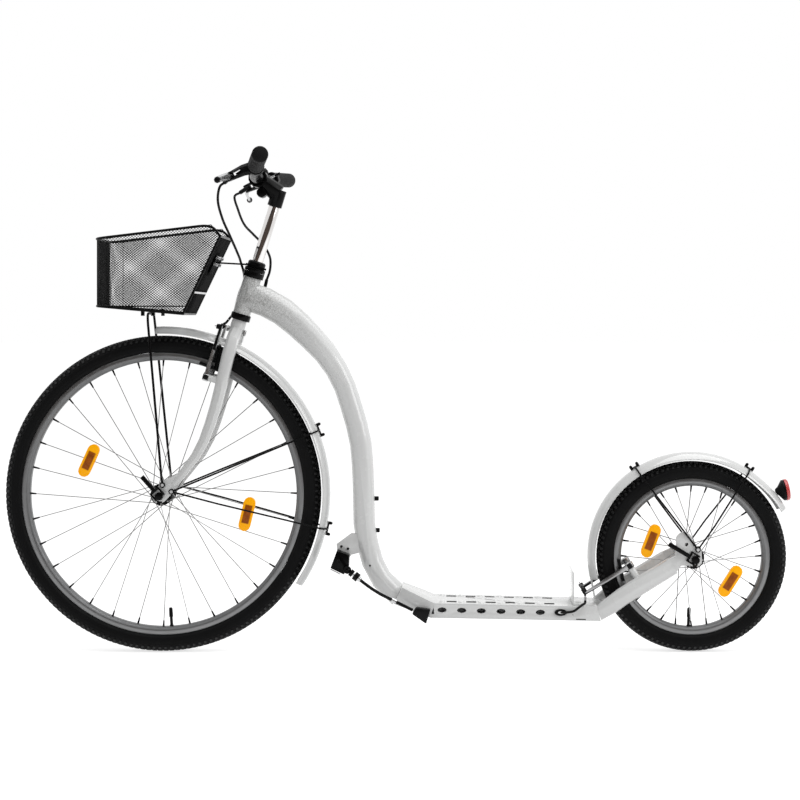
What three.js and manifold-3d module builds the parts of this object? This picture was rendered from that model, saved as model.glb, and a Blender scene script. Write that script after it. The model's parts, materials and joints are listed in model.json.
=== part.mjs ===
// A kick bike: a foot-pushed scooter with a large spoked front wheel, a small
// spoked rear wheel, a low standing deck, V-brakes, fenders and a mesh basket.
// Millimetres, +Z up, +X towards the rear wheel, -Y on the rider's left.
// The origin is on the ground under the middle of the bike.

import * as THREE from "three";
import { mergeVertices } from "three/addons/utils/BufferGeometryUtils.js";
import Module from "manifold-3d";

const wasm = await Module();
wasm.setup();

// Driving dimensions
const betweenTyres = 557;
const tyreWidth = 40;
const tyreHeight = 39.5;
const lightReach = 200.5;
const headTilt = THREE.MathUtils.degToRad(17);
const overTyre = 66.5;
const forkRake = 44.5;
const hubWidth = 100;
const seat = 0.3;
const overrun = 5;
const weld = 0.001;

// The two wheels: bead seat radius, spoke count and facets round the rim
const frontWheel = {
  name: "front",
  bead: 279.5,
  spokes: 32,
  facets: 40,
  valveLeanShare: 0.06,
  reflectors: [
    { radius: 163, bearing: 155.6 },
    { radius: 175, bearing: -13.5 },
  ],
};
const rearWheel = {
  name: "rear",
  bead: 152.5,
  spokes: 28,
  facets: 32,
  valveLeanShare: -0.04,
  reflectors: [
    { radius: 89.4, bearing: 158.9 },
    { radius: 91.2, bearing: -32.6 },
  ],
};
const frontRadius = frontWheel.bead + tyreHeight;
const rearRadius = rearWheel.bead + tyreHeight;
const wheelbase = frontRadius + betweenTyres + rearRadius;
const forkLength = frontRadius + overTyre;
const overallLength = frontRadius + wheelbase + lightReach;
const frontAxle = new THREE.Vector3(frontRadius - overallLength / 2, 0, frontRadius);
const rearAxle = new THREE.Vector3(frontAxle.x + wheelbase, 0, rearRadius);

// Directions along and across the steering axis, and the point where the fork crown meets the headset
const up = new THREE.Vector3(Math.sin(headTilt), 0, Math.cos(headTilt));
const back = new THREE.Vector3(Math.cos(headTilt), 0, -Math.sin(headTilt));
const left = new THREE.Vector3(0, 1, 0);
const crown = frontAxle.clone().addScaledVector(back, forkRake).addScaledVector(up, forkLength);

// Places on the frame are measured from a datum ahead of the rear axle, those on the
// basket, levers and front cables from one below and behind the crown.
const frameSetback = 593.25;
const frameDatum = rearAxle.x - frameSetback;
const crownFrom = { x: -319.485146, z: 674.644943 };
const columnDatum = new THREE.Vector3(crown.x - crownFrom.x, 0, crown.z - crownFrom.z);

const rim = {
  width: 24,
  flange: 5.5,
  lip: 1.7,
  well: 4,
  trackLow: 7.5,
  depth: 10,
  inset: 1,
  floorShare: 0.6,
};
const hub = {
  flange: 22,
  flangeAt: 30,
  flangeThick: 3.6,
  barrel: 10.5,
  end: 36,
  endRadius: 13,
  bore: 5.4,
  pitch: 18.6,
};
const spoke = { radius: 1, sides: 3, crossings: 3, spread: 1.7, rimSpread: 2.5 };
const valve = { radius: 3.2, length: 34 };
const reflector = { length: 70, height: 24, thick: 9, groove: 1.4 };
const axle = { radius: 4.9, locknut: 9, locknutThick: 6 };

const fender = { half: 25, crown: 18.8, edge: 5, thick: 2, roundness: 2.6 };
const dropout = { thick: 5, round: 15 };
const forkTube = {
  crownWidth: 30,
  crownLow: 20,
  overFender: 5.7,
  crownRound: 2,
  crownTaperShare: 0.44,
  legDepth: 27,
  legWidth: 22,
  tipDepth: 15,
  tipWidth: 13,
};
const crownEnd = overTyre - fender.crown - forkTube.overFender;
const steerer = { radius: 12.7, bore: 11.5, boreLow: 30, top: 108 };
const headset = { radius: 20, cupLow: -5, cupHeight: 12.7, upperHeight: 12, lip: 1 };
const locknut = { height: 22, flat: 7, bevel: 1, rise: 3, neck: 2, top: 5 };
const headTube = {
  radius: 18,
  low: 8,
  high: 84,
  bore: 15.5,
  joint: 46,
  trim: 60,
  aboveRadius: 200,
  aheadRadius: 80,
};
const quill = { radius: 11.1, low: 60, top: 243 };
const stem = {
  socketLow: 235,
  elbow: 262,
  elbowPast: 8,
  reach: 47,
  rise: 280,
  socket: 15,
  width: 32,
  clamp: 19,
  clampPast: 4,
  armDepth: 19,
  armEndDepth: 15,
  boreHalf: 50,
  lug: { radius: 10, half: 15, behind: -32, along: 254 },
};
const bar = {
  clampRadius: 12.7,
  radius: 11.1,
  half: 300,
  sweep: 26.2,
  rise: 29,
  bend: { at: 92, sweep: 2, rise: 2.8 },
  middle: { at: 175, sweep: 9, rise: 14.6 },
  straight: 58,
  core: 30,
  clampTo: 35,
  taperTo: 80,
  sides: 12,
};
const grip = {
  radius: 15.5,
  inner: 172,
  short: 4,
  floor: 5,
  cap: 4,
  crown: 2,
  bevel: 3,
  lap: 1,
  step: 2,
};
const lever = { clampAt: 158, clampWidth: 16, clampRadius: 17, pivotAt: 152, tipAt: 275 };

const mainTube = { width: 45, headDepth: 60 };
const deck = { half: 58, wall: 3, holeLength: 19, holeHeight: 11, holes: 6, pitch: 39.2 };
const stay = { depth: 36.4, width: 19, rootDepth: 30 };
const brake = {
  armLength: 108,
  padRise: 24.3,
  padGap: 2,
  padThick: 9,
  padHeight: 7,
  padLength: 44,
  padDrop: 6,
  bossHalf: 36,
};
const wire = { stayRadius: 1.8, strutRadius: 2.1, cableRadius: 2.5, facets: 5 };

// Colours and finishes
const paints = {
  white: { color: 0xe9eae8, roughness: 0.28, metalness: 0.05 },
  fenderWhite: { color: 0xe2e3e1, roughness: 0.4, metalness: 0 },
  black: { color: 0x141414, roughness: 0.5, metalness: 0.1 },
  rubber: { color: 0x1b1b1c, roughness: 0.85, metalness: 0 },
  gripRubber: { color: 0x2b2c2b, roughness: 0.8, metalness: 0 },
  rim: { color: 0xb9bbbb, roughness: 0.35, metalness: 0.9 },
  steel: { color: 0xa8aaab, roughness: 0.3, metalness: 0.95 },
  chrome: { color: 0xc9cbcc, roughness: 0.08, metalness: 1 },
  amber: { color: 0xf09a12, roughness: 0.25, metalness: 0 },
  red: { color: 0xc41f22, roughness: 0.25, metalness: 0 },
  blackWire: { color: 0x101011, roughness: 0.45, metalness: 0.3 },
};

// A closed geometry as a solid with its faces pointing out.
function solid(geometry) {
  const bare = geometry.index ? geometry.toNonIndexed() : geometry.clone();
  bare.deleteAttribute("normal");
  bare.deleteAttribute("uv");
  const merged = mergeVertices(bare, weld);
  const make = (triVerts) =>
    new wasm.Manifold(
      new wasm.Mesh({ numProp: 3, vertProperties: merged.attributes.position.array, triVerts }),
    );
  const made = make(new Uint32Array(merged.index.array));
  return made.volume() < 0 ? make(new Uint32Array(merged.index.array).reverse()) : made;
}

function join(...solids) {
  return solids.reduce((whole, next) => whole.add(next));
}

function cut(body, ...tools) {
  return tools.reduce((whole, tool) => whole.subtract(tool), body);
}

// A solid back as geometry, named and painted, in its group.
function piece(name, body, paint, group) {
  const shape = body.getMesh();
  const geometry = new THREE.BufferGeometry();
  geometry.setAttribute("position", new THREE.BufferAttribute(new Float32Array(shape.vertProperties), 3));
  geometry.setIndex(new THREE.BufferAttribute(new Uint32Array(shape.triVerts), 1));
  const flat = geometry.toNonIndexed();
  flat.computeVertexNormals();
  const mesh = new THREE.Mesh(flat, new THREE.MeshStandardMaterial(paints[paint]));
  mesh.name = name;
  group.add(mesh);
  return mesh;
}

// Skins a row of closed rings into one geometry, with a fan over each end.
function loft(rings) {
  const sides = rings[0].length;
  const points = rings.flat();
  const faces = [];
  for (let r = 0; r + 1 < rings.length; r++) {
    for (let s = 0; s < sides; s++) {
      const a = r * sides + s;
      const b = r * sides + ((s + 1) % sides);
      faces.push(a, b, b + sides, a, b + sides, a + sides);
    }
  }
  const last = (rings.length - 1) * sides;
  for (let s = 1; s + 1 < sides; s++) {
    faces.push(0, s + 1, s);
    faces.push(last, last + s, last + s + 1);
  }
  const geometry = new THREE.BufferGeometry().setFromPoints(points);
  geometry.setIndex(faces);
  return geometry;
}

// An oval ring of points about a centre, with half sizes along two directions.
function oval(centre, across, along, halfAcross, halfAlong, sides, squareness = 1) {
  const ring = [];
  for (let s = 0; s < sides; s++) {
    const angle = ((s + 0.5) * 2 * Math.PI) / sides;
    const c = Math.cos(angle);
    const d = Math.sin(angle);
    ring.push(
      centre
        .clone()
        .addScaledVector(across, Math.sign(c) * Math.abs(c) ** squareness * halfAcross)
        .addScaledVector(along, Math.sign(d) * Math.abs(d) ** squareness * halfAlong),
    );
  }
  return ring;
}

// A tube that follows a smooth curve in any direction, its section turned as little as possible.
// size(t) gives the half width and half depth at the share t of the length.
function sweep(points, steps, sides, size, sideways = left, squareness = 1) {
  const curve = new THREE.CatmullRomCurve3(points, false, "centripetal");
  const rings = [];
  let across = sideways.clone();
  for (let k = 0; k <= steps; k++) {
    const t = k / steps;
    const along = curve.getTangentAt(t);
    across = across.clone().addScaledVector(along, -across.dot(along)).normalize();
    const [width, depth] = size(t);
    rings.push(
      oval(curve.getPointAt(t), across, along.clone().cross(across), width, depth, sides, squareness),
    );
  }
  return solid(loft(rings));
}

// A round rod of one radius through straight or curved points.
function rod(points, radius, sides, steps = points.length - 1) {
  const sideways = Math.abs(points[1].clone().sub(points[0]).normalize().y) > 0.9 ? up : left;
  return sweep(points, steps, sides, () => [radius, radius], sideways);
}

// A wire that runs straight from place to place, with its corners mitred.
function bentWire(points, radius, sides) {
  let across = up.clone();
  const rings = points.map((point, k) => {
    const before = points[Math.max(k - 1, 0)];
    const after = points[Math.min(k + 1, points.length - 1)];
    const along = after.clone().sub(before).normalize();
    across = across.clone().addScaledVector(along, -across.dot(along)).normalize();
    return oval(point, across, along.clone().cross(across), radius, radius, sides);
  });
  return solid(loft(rings));
}

// A solid turned about a line: profile points are distances out from the line and along it.
function turned(profile, facets, origin = new THREE.Vector3(), direction = left) {
  const geometry = new THREE.LatheGeometry(
    profile.map(([out, along]) => new THREE.Vector2(out, along)),
    facets,
  );
  geometry.applyQuaternion(new THREE.Quaternion().setFromUnitVectors(left, direction.clone().normalize()));
  geometry.translate(origin.x, origin.y, origin.z);
  return solid(geometry);
}

// A plain round bar between two distances along a line.
function cylinder(radius, from, to, facets, origin, direction) {
  return turned([[0, from], [radius, from], [radius, to], [0, to]], facets, origin, direction);
}

// A ring with a hole through it.
function collar(outer, inner, from, to, facets, origin, direction) {
  return turned(
    [[inner, from], [outer, from], [outer, to], [inner, to], [inner, from]],
    facets,
    origin,
    direction,
  );
}

// A flat outline in the bike's side plane, given as [x, z] points, with its thickness from one y to another.
function plate(outline, fromY, toY, holes = []) {
  const shape = new THREE.Shape(outline.map(([x, z]) => new THREE.Vector2(x, z)));
  for (const hole of holes) {
    shape.holes.push(new THREE.Path(hole.map(([x, z]) => new THREE.Vector2(x, z))));
  }
  const geometry = new THREE.ExtrudeGeometry(shape, { depth: toY - fromY, bevelEnabled: false });
  geometry.rotateX(Math.PI / 2);
  geometry.translate(0, toY, 0);
  return solid(geometry);
}

function box(sizeX, sizeY, sizeZ, x, y, z) {
  const geometry = new THREE.BoxGeometry(sizeX, sizeY, sizeZ);
  geometry.translate(x, y, z);
  return solid(geometry);
}

// A regular outline round a centre, as [x, z] points.
function ellipseOutline(x, z, halfX, halfZ, sides) {
  return Array.from({ length: sides }, (_, k) => {
    const angle = (k * 2 * Math.PI) / sides;
    return [x + halfX * Math.cos(angle), z + halfZ * Math.sin(angle)];
  });
}

// A place given by its distance behind the steering axis, to the right, and along it from the crown.
function steer(behind, y, along) {
  return crown.clone().addScaledVector(back, behind).addScaledVector(left, y).addScaledVector(up, along);
}

// A place given from a wheel's axle by radius and by degrees back from straight up.
function round(centre, radius, degrees, y) {
  const angle = THREE.MathUtils.degToRad(degrees);
  return new THREE.Vector3(
    centre.x + radius * Math.sin(angle),
    y,
    centre.z + radius * Math.cos(angle),
  );
}

const bike = new THREE.Group();
const frameGroup = new THREE.Group();
const steeringGroup = new THREE.Group();
bike.add(frameGroup, steeringGroup);

// Wheels

// One laced spoke, from its hole in the hub flange to the inside of the rim.
function spokeSolid(wheel, index, radius) {
  const perSide = wheel.spokes / 2;
  const side = index % 2 ? 1 : -1;
  const onSide = Math.floor(index / 2);
  const leading = onSide % 2 ? 1 : -1;
  const rimAngle = (index * 2 * Math.PI) / wheel.spokes;
  const lace = (spoke.crossings * 2 * Math.PI) / perSide;
  const hubAngle = rimAngle + leading * lace;
  const flat = Math.cos(Math.PI / wheel.facets);
  const rimInside = (wheel.bead - rim.depth) * flat - 2 * seat;
  const start = new THREE.Vector3(
    hub.pitch * Math.sin(hubAngle),
    side * (hub.flangeAt + leading * spoke.spread),
    hub.pitch * Math.cos(hubAngle),
  );
  const end = new THREE.Vector3(
    rimInside * Math.sin(rimAngle),
    side * spoke.rimSpread,
    rimInside * Math.cos(rimAngle),
  );
  return rod([start, end], radius, spoke.sides);
}

function hubShell() {
  const edge = hub.flangeAt + hub.flangeThick / 2;
  const inner = hub.flangeAt - hub.flangeThick / 2;
  return turned(
    [
      [hub.bore, -hub.end],
      [hub.endRadius, -hub.end],
      [hub.endRadius, -edge],
      [hub.flange, -edge],
      [hub.flange, -inner],
      [hub.barrel, -inner + overrun],
      [hub.barrel, inner - overrun],
      [hub.flange, inner],
      [hub.flange, edge],
      [hub.endRadius, edge],
      [hub.endRadius, hub.end],
      [hub.bore, hub.end],
      [hub.bore, -hub.end],
    ],
    12,
  );
}

const tyreRoundShare = 0.66;

// The tyre with the tube inside it as one ring: a round section that sits on the rim's flanges.
function tyreSolid(wheel) {
  const half = tyreWidth / 2;
  const centre = wheel.bead + tyreHeight - half;
  const foot = wheel.bead + rim.flange + seat;
  const steps = 6;
  const round = [];
  for (let k = 0; k <= steps; k++) {
    const angle = Math.PI * tyreRoundShare * ((2 * k) / steps - 1);
    round.push([centre + half * Math.cos(angle), half * Math.sin(angle)]);
  }
  const lip = rim.width / 2 - rim.inset;
  return turned([[foot, -lip], ...round, [foot, lip], [foot, -lip]], wheel.facets);
}

function rimSolid(wheel) {
  const half = rim.width / 2;
  const top = wheel.bead + rim.flange;
  const low = wheel.bead - rim.depth;
  const hollow = wheel.bead - rim.well;
  const body = turned(
    [
      [low, -half * rim.floorShare],
      [wheel.bead - rim.trackLow, -half],
      [top, -half],
      [top, -half + rim.lip],
      [hollow, 0],
      [top, half - rim.lip],
      [top, half],
      [wheel.bead - rim.trackLow, half],
      [low, half * rim.floorShare],
      [low, -half * rim.floorShare],
    ],
    wheel.facets,
  );
  const stemTube = cylinder(
    valve.radius,
    low - valve.length,
    low + overrun / 2,
    8,
    new THREE.Vector3(),
    new THREE.Vector3(wheel.valveLeanShare, 0, -1),
  );
  return join(body, stemTube);
}

function reflectorSolid(wheel, place) {
  const bearing = THREE.MathUtils.degToRad(place.bearing);
  const centre = new THREE.Vector3(
    place.radius * Math.cos(bearing),
    0,
    place.radius * Math.sin(bearing),
  );
  const rimInside = wheel.bead - rim.depth;
  const share = (place.radius - hub.pitch) / (rimInside - hub.pitch);
  const y = -hub.flangeAt + share * (hub.flangeAt - spoke.rimSpread);
  const end = reflector.length / 2 - reflector.height / 2;
  const outline = [];
  const steps = 6;
  for (const side of [1, -1]) {
    for (let k = 0; k <= steps; k++) {
      const angle = (Math.PI * k) / steps - Math.PI / 2 + (side < 0 ? Math.PI : 0);
      outline.push([
        side * end + (reflector.height / 2) * Math.cos(angle),
        (reflector.height / 2) * Math.sin(angle),
      ]);
    }
  }
  const turn = bearing + Math.PI / 2;
  const placed = outline.map(([a, b]) => [
    centre.x + a * Math.cos(turn) - b * Math.sin(turn),
    centre.z + a * Math.sin(turn) + b * Math.cos(turn),
  ]);
  const body = plate(placed, y - reflector.thick / 2, y + reflector.thick / 2);
  const grooves = [];
  for (let k = 0; k < wheel.spokes; k++) {
    grooves.push(spokeSolid(wheel, k, reflector.groove));
  }
  return cut(body, ...grooves);
}

function buildWheel(wheel, centre, parent) {
  const group = new THREE.Group();
  group.position.copy(centre);
  parent.add(group);
  const spokes = [];
  for (let k = 0; k < wheel.spokes; k++) {
    spokes.push(spokeSolid(wheel, k, spoke.radius));
  }
  piece(wheel.name + "_tyre", tyreSolid(wheel), "rubber", group);
  piece(wheel.name + "_rim", rimSolid(wheel), "rim", group);
  piece(wheel.name + "_hub_and_spokes", join(hubShell(), ...spokes), "steel", group);
  wheel.reflectors.forEach((place, k) =>
    piece(wheel.name + "_reflector_" + (k + 1), reflectorSolid(wheel, place), "amber", group),
  );
}

buildWheel(frontWheel, frontAxle, steeringGroup);
buildWheel(rearWheel, rearAxle, frameGroup);

// Axles with their locknuts, and the quick-release levers

const cam = {
  cap: 8,
  length: 11,
  pin: 2.5,
  pinFacets: 6,
  ear: 3,
  eye: 5,
  earEnd: 14.5,
  bridge: 13.5,
  bridgeRadius: 2.5,
  bladeFrom: 12.5,
  leverWidth: 10,
  leverThick: 5,
  earShare: 0.7,
  rootShare: 0.85,
};
const frontLever = { bearing: 131, length: 52 };
const rearLever = { bearing: 149, length: 62 };
const nutHead = { radius: 9, length: 12, endShare: 0.8 };
const outside = hubWidth / 2 + dropout.thick + 2 * seat;

// The direction of a quick-release lever in the side plane.
function leverLine(bearing) {
  const angle = THREE.MathUtils.degToRad(bearing);
  return new THREE.Vector3(Math.cos(angle), 0, Math.sin(angle));
}

// The line of the cam pin that a lever turns on.
function camPin(centre, bearing) {
  const across = leverLine(bearing).cross(left);
  return { centre: centre.clone().setY(-outside - cam.length / 2), across };
}

function axleSolid(centre, bearing) {
  const half = hubWidth / 2;
  const body = turned(
    [
      [0, -outside - seat],
      [axle.radius, -outside - seat],
      [axle.radius, -half],
      [axle.locknut, -half],
      [axle.locknut, -half + axle.locknutThick],
      [axle.radius, -half + axle.locknutThick],
      [axle.radius, half - axle.locknutThick],
      [axle.locknut, half - axle.locknutThick],
      [axle.locknut, half],
      [axle.radius, half],
      [axle.radius, outside],
      [nutHead.radius, outside],
      [nutHead.radius * nutHead.endShare, outside + nutHead.length],
      [0, outside + nutHead.length],
    ],
    12,
    centre,
  );
  const pin = camPin(centre, bearing);
  const pinEnd = cam.cap + seat + cam.ear;
  return join(
    body,
    cylinder(cam.cap, -outside - cam.length, -outside, 10, centre),
    cylinder(cam.pin, -pinEnd, pinEnd, cam.pinFacets, pin.centre, pin.across),
  );
}

// The forked lever: two ears on the cam pin, a bridge across them and the blade.
function quickRelease(centre, bearing, length) {
  const along = leverLine(bearing);
  const pin = camPin(centre, bearing);
  const ears = [-1, 1].map((side) => {
    const from = pin.centre.clone().addScaledVector(pin.across, side * (cam.cap + seat));
    const eye = cylinder(cam.eye, 0, cam.ear, 8, from, pin.across.clone().multiplyScalar(side));
    const middle = from.clone().addScaledVector(pin.across, side * cam.ear / 2);
    const strap = sweep(
      [middle, middle.clone().addScaledVector(along, cam.earEnd)],
      1,
      4,
      () => [cam.leverThick * cam.earShare, cam.ear * cam.earShare],
    );
    return join(eye, strap);
  });
  const bridgeHalf = cam.cap + seat + cam.ear;
  const bridge = cylinder(
    cam.bridgeRadius,
    -bridgeHalf,
    bridgeHalf,
    6,
    pin.centre.clone().addScaledVector(along, cam.bridge),
    pin.across,
  );
  const start = pin.centre.clone().addScaledVector(along, cam.bladeFrom);
  const tip = pin.centre.clone().addScaledVector(along, length);
  const blade = sweep([start, tip], 1, 8, (t) => [
    cam.leverThick / 2,
    (cam.leverWidth / 2) * THREE.MathUtils.lerp(cam.rootShare, 1, t),
  ]);
  const clearOfCorners = (cam.pin + seat) / Math.cos(Math.PI / cam.pinFacets);
  const reach = bridgeHalf + overrun;
  const hole = cylinder(clearOfCorners, -reach, reach, cam.pinFacets, pin.centre, pin.across);
  return cut(join(...ears, bridge, blade), hole);
}

piece("front_axle", axleSolid(frontAxle, frontLever.bearing), "black", steeringGroup);
piece("rear_axle", axleSolid(rearAxle, rearLever.bearing), "black", frameGroup);
piece(
  "front_quick_release",
  quickRelease(frontAxle, frontLever.bearing, frontLever.length),
  "black",
  steeringGroup,
);
piece(
  "rear_quick_release",
  quickRelease(rearAxle, rearLever.bearing, rearLever.length),
  "black",
  frameGroup,
);

// Fork

const eyelet = { strut: [6.4, 21.8], fenderFront: [24.2, 8.7], fenderRear: [5.2, 20.1], radius: 5.5 };

// The leg's line down from the crown, as places behind, beside and along the steering axis.
const legLineShares = [
  [0, 0.08, -0.066],
  [0.003, 0.45, -0.085],
  [0.004, 0.72, -0.14],
  [0.018, 0.8, -0.36],
  [0.024, 0.88, -0.53],
  [0.012, 0.96, -0.71],
  [-0.03, 1.02, -0.84],
  [-0.062, 1.04, -0.925],
];
const legEndShares = { behind: -0.045, along: -0.88 };
const legTaper = { width: 1.5, depth: 2 };

function forkLeg(side) {
  const half = hubWidth / 2;
  const line = legLineShares.map(([behind, beside, along]) =>
    steer(behind * forkLength, side * beside * half, along * forkLength),
  );
  return sweep(line, 10, 8, (t) => [
    THREE.MathUtils.lerp(forkTube.legWidth, forkTube.tipWidth, t ** legTaper.width) / 2,
    THREE.MathUtils.lerp(forkTube.legDepth, forkTube.tipDepth, t ** legTaper.depth) / 2,
  ]);
}

// The flat end that holds the axle, with its slot and the two eyelets.
function forkDropout(side) {
  const from = side > 0 ? hubWidth / 2 + seat : -hubWidth / 2 - seat - dropout.thick;
  const to = from + dropout.thick;
  const legEnd = steer(legEndShares.behind * forkLength, 0, legEndShares.along * forkLength);
  const outline = [
    ...ellipseOutline(frontAxle.x, frontAxle.z, dropout.round, dropout.round, 14).slice(4, 13),
    [frontAxle.x + eyelet.fenderFront[0] + eyelet.radius, frontAxle.z + eyelet.fenderFront[1]],
    [legEnd.x + eyelet.radius, legEnd.z],
    [legEnd.x - eyelet.radius, legEnd.z + eyelet.radius],
    [frontAxle.x + eyelet.strut[0] - eyelet.radius, frontAxle.z + eyelet.strut[1] + eyelet.radius],
  ];
  const slot = plate(slotOutline(frontAxle), from - overrun, to + overrun);
  return cut(plate(outline, from, to), slot);
}

const crownBolt = { along: -28, radius: 3, head: 6, headThick: 5 };

function forkSolid() {
  const column = cylinder(steerer.radius, -forkTube.crownLow, steerer.top, 16, crown, up);
  const head = turned(
    [
      [0, headset.cupLow - seat],
      [forkTube.crownWidth / 2, headset.cupLow - seat],
      [forkTube.crownWidth / 2, -forkTube.crownLow],
      [forkTube.crownWidth * forkTube.crownTaperShare, forkTube.crownRound - crownEnd],
      [0, -crownEnd],
    ],
    16,
    crown,
    up,
  );
  const legs = [-1, 1].map((side) => join(forkLeg(side), forkDropout(side)));
  const boltHole = cylinder(
    crownBolt.radius + seat,
    -forkTube.crownWidth,
    forkTube.crownWidth,
    10,
    steer(0, 0, crownBolt.along),
    back,
  );
  const bosses = [-1, 1].map((side) => frontBoss(side));
  const bore = cylinder(steerer.bore, steerer.boreLow, steerer.top + overrun, 16, crown, up);
  return cut(join(column, head, ...legs, ...bosses), boltHole, bore);
}

// Brake bosses: short posts on the fork legs and on the rear stays that the brake arms turn on.
const boss = { radius: 7, armBore: 4.2, post: 3.8, armThick: 11 };
const pivotAboveAxle = 252.5;
const frontPivot = { behind: -22, along: pivotAboveAxle - forkLength };

function frontBoss(side) {
  const root = steer(0, side * brake.bossHalf, frontPivot.along);
  return join(
    cylinder(boss.radius, frontPivot.behind, 0, 10, root, back),
    cylinder(boss.post, frontPivot.behind - boss.armThick - seat, frontPivot.behind, 8, root, back),
  );
}

piece("fork", forkSolid(), "white", steeringGroup);

// Headset and steering column

piece(
  "headset_lower_cup",
  collar(
    headset.radius,
    headTube.bore - headset.lip,
    headset.cupLow,
    headset.cupLow + headset.cupHeight,
    16,
    crown,
    up,
  ),
  "black",
  frameGroup,
);
const upperCupLow = headTube.high + seat;
const nutLow = upperCupLow + headset.upperHeight + seat;
const nutNeck = headset.radius - locknut.neck;
piece(
  "headset_upper_cup",
  collar(
    headset.radius + headset.lip,
    headTube.bore - headset.lip,
    upperCupLow,
    upperCupLow + headset.upperHeight,
    16,
    crown,
    up,
  ),
  "black",
  frameGroup,
);
piece(
  "headset_locknut",
  turned(
    [
      [steerer.radius + seat, nutLow],
      [headset.radius + headset.lip, nutLow],
      [headset.radius + headset.lip, nutLow + locknut.flat],
      [nutNeck, nutLow + locknut.flat + locknut.bevel],
      [nutNeck, nutLow + locknut.height - locknut.rise],
      [headset.radius - locknut.top, nutLow + locknut.height],
      [quill.radius + seat, nutLow + locknut.height],
      [quill.radius + seat, steerer.top + seat],
      [steerer.radius + seat, steerer.top + seat],
      [steerer.radius + seat, nutLow],
    ],
    16,
    crown,
    up,
  ),
  "black",
  steeringGroup,
);
piece("quill_post", cylinder(quill.radius, quill.low, quill.top, 16, crown, up), "chrome", steeringGroup);

function stemSolid() {
  const top = steer(0, 0, stem.elbow);
  const clampCentre = steer(-stem.reach, 0, stem.rise);
  const clampHalf = stem.width / 2 + stem.clampPast;
  const socket = cylinder(stem.socket, stem.socketLow, stem.elbow + stem.elbowPast, 14, crown, up);
  const arm = sweep([top, clampCentre], 2, 10, (t) => [
    stem.width / 2,
    THREE.MathUtils.lerp(stem.armDepth, stem.armEndDepth, t),
  ]);
  const clampRing = cylinder(stem.clamp, -clampHalf, clampHalf, 14, clampCentre);
  const lugCentre = steer(stem.lug.behind, 0, stem.lug.along);
  const lug = cylinder(stem.lug.radius, -stem.lug.half, stem.lug.half, 10, lugCentre);
  const bore = alongBar(-stem.boreHalf, stem.boreHalf, bar.clampRadius + 2 * seat, 4, bar.sides);
  const quillHole = cylinder(quill.radius + seat, 0, quill.top + seat, 16, crown, up);
  return cut(join(socket, arm, clampRing, lug), bore, quillHole);
}

// Handlebar, grips and brake levers

// Half of the bar's centre line from its middle outwards: distance to the side, sweep back and rise.
const halfBarLine = [
  [bar.core, 0, 0],
  [bar.straight, 0, 0],
  [bar.bend.at, bar.bend.sweep, bar.bend.rise],
  [bar.middle.at, bar.middle.sweep, bar.middle.rise],
  [bar.half, bar.sweep, bar.rise],
];
const barSide = (side) =>
  halfBarLine.map(([y, sweep, rise]) => steer(sweep - stem.reach, side * y, stem.rise + rise));
const barLine = [...barSide(-1).reverse(), ...barSide(1)];

function barCurve() {
  return new THREE.CatmullRomCurve3(barLine, false, "centripetal");
}

// The point of the bar's centre line at a distance to the side.
function barPoint(y) {
  const curve = barCurve();
  let low = 0;
  let high = 1;
  for (let k = 0; k < 40; k++) {
    const middle = (low + high) / 2;
    if (curve.getPointAt(middle).y < y) low = middle;
    else high = middle;
  }
  return curve.getPointAt(low);
}

// A stretch of tube along the bar between two distances to the side.
function alongBar(fromY, toY, radius, steps, sides) {
  const stops = Array.from({ length: steps + 1 }, (_, k) => barPoint(fromY + ((toY - fromY) * k) / steps));
  return sweep(stops, steps, sides, () => [radius, radius], up);
}

function barSolid() {
  const curve = barCurve();
  const size = (t) => {
    const y = Math.abs(curve.getPointAt(t).y);
    const share = THREE.MathUtils.smoothstep(y, bar.clampTo, bar.taperTo);
    const radius = THREE.MathUtils.lerp(bar.clampRadius, bar.radius, share);
    return [radius, radius];
  };
  return sweep(curve.getSpacedPoints(24), 20, bar.sides, size, up);
}
piece("stem", stemSolid(), "black", steeringGroup);
piece("handlebar", barSolid(), "black", steeringGroup);

const gripShares = [0.25, 0.5, 0.75, 1];

// A grip: a cup over the bar's end, skinned from the bottom of its bore, out at its mouth and round its end.
function gripSolid(side) {
  const ring = (y, radius) => {
    const ahead = barPoint(side * (y + grip.step)).sub(barPoint(side * (y - grip.step))).normalize();
    const across = up.clone().addScaledVector(ahead, -up.dot(ahead)).normalize();
    return oval(barPoint(side * y), across, ahead.clone().cross(across), radius, radius, bar.sides);
  };
  const beyond = (y, past, radius) => {
    const nearEnd = barPoint(side * (y - grip.lap));
    const ahead = nearEnd.sub(barPoint(side * (y - 2 * grip.step))).normalize();
    return ring(y - grip.step, radius).map((point) => point.addScaledVector(ahead, past + grip.step));
  };
  const inside = bar.radius + 2 * seat;
  const tip = bar.half - grip.short;
  const steps = gripShares;
  const along = (share) => grip.inner + share * (tip - grip.inner);
  const rings = [
    beyond(tip, grip.floor, inside),
    ...[...steps].reverse().map((share) => ring(along(share) - grip.lap, inside)),
    ring(grip.inner, inside),
    ring(grip.inner, grip.radius),
    ...steps.map((share) => ring(along(share) - grip.lap, grip.radius)),
    beyond(tip, grip.floor + grip.cap, grip.radius),
    beyond(tip, grip.floor + grip.cap + grip.crown, grip.radius - grip.bevel),
  ];
  return solid(loft(rings));
}
piece("grip_left", gripSolid(-1), "gripRubber", steeringGroup);
piece("grip_right", gripSolid(1), "gripRubber", steeringGroup);

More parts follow.
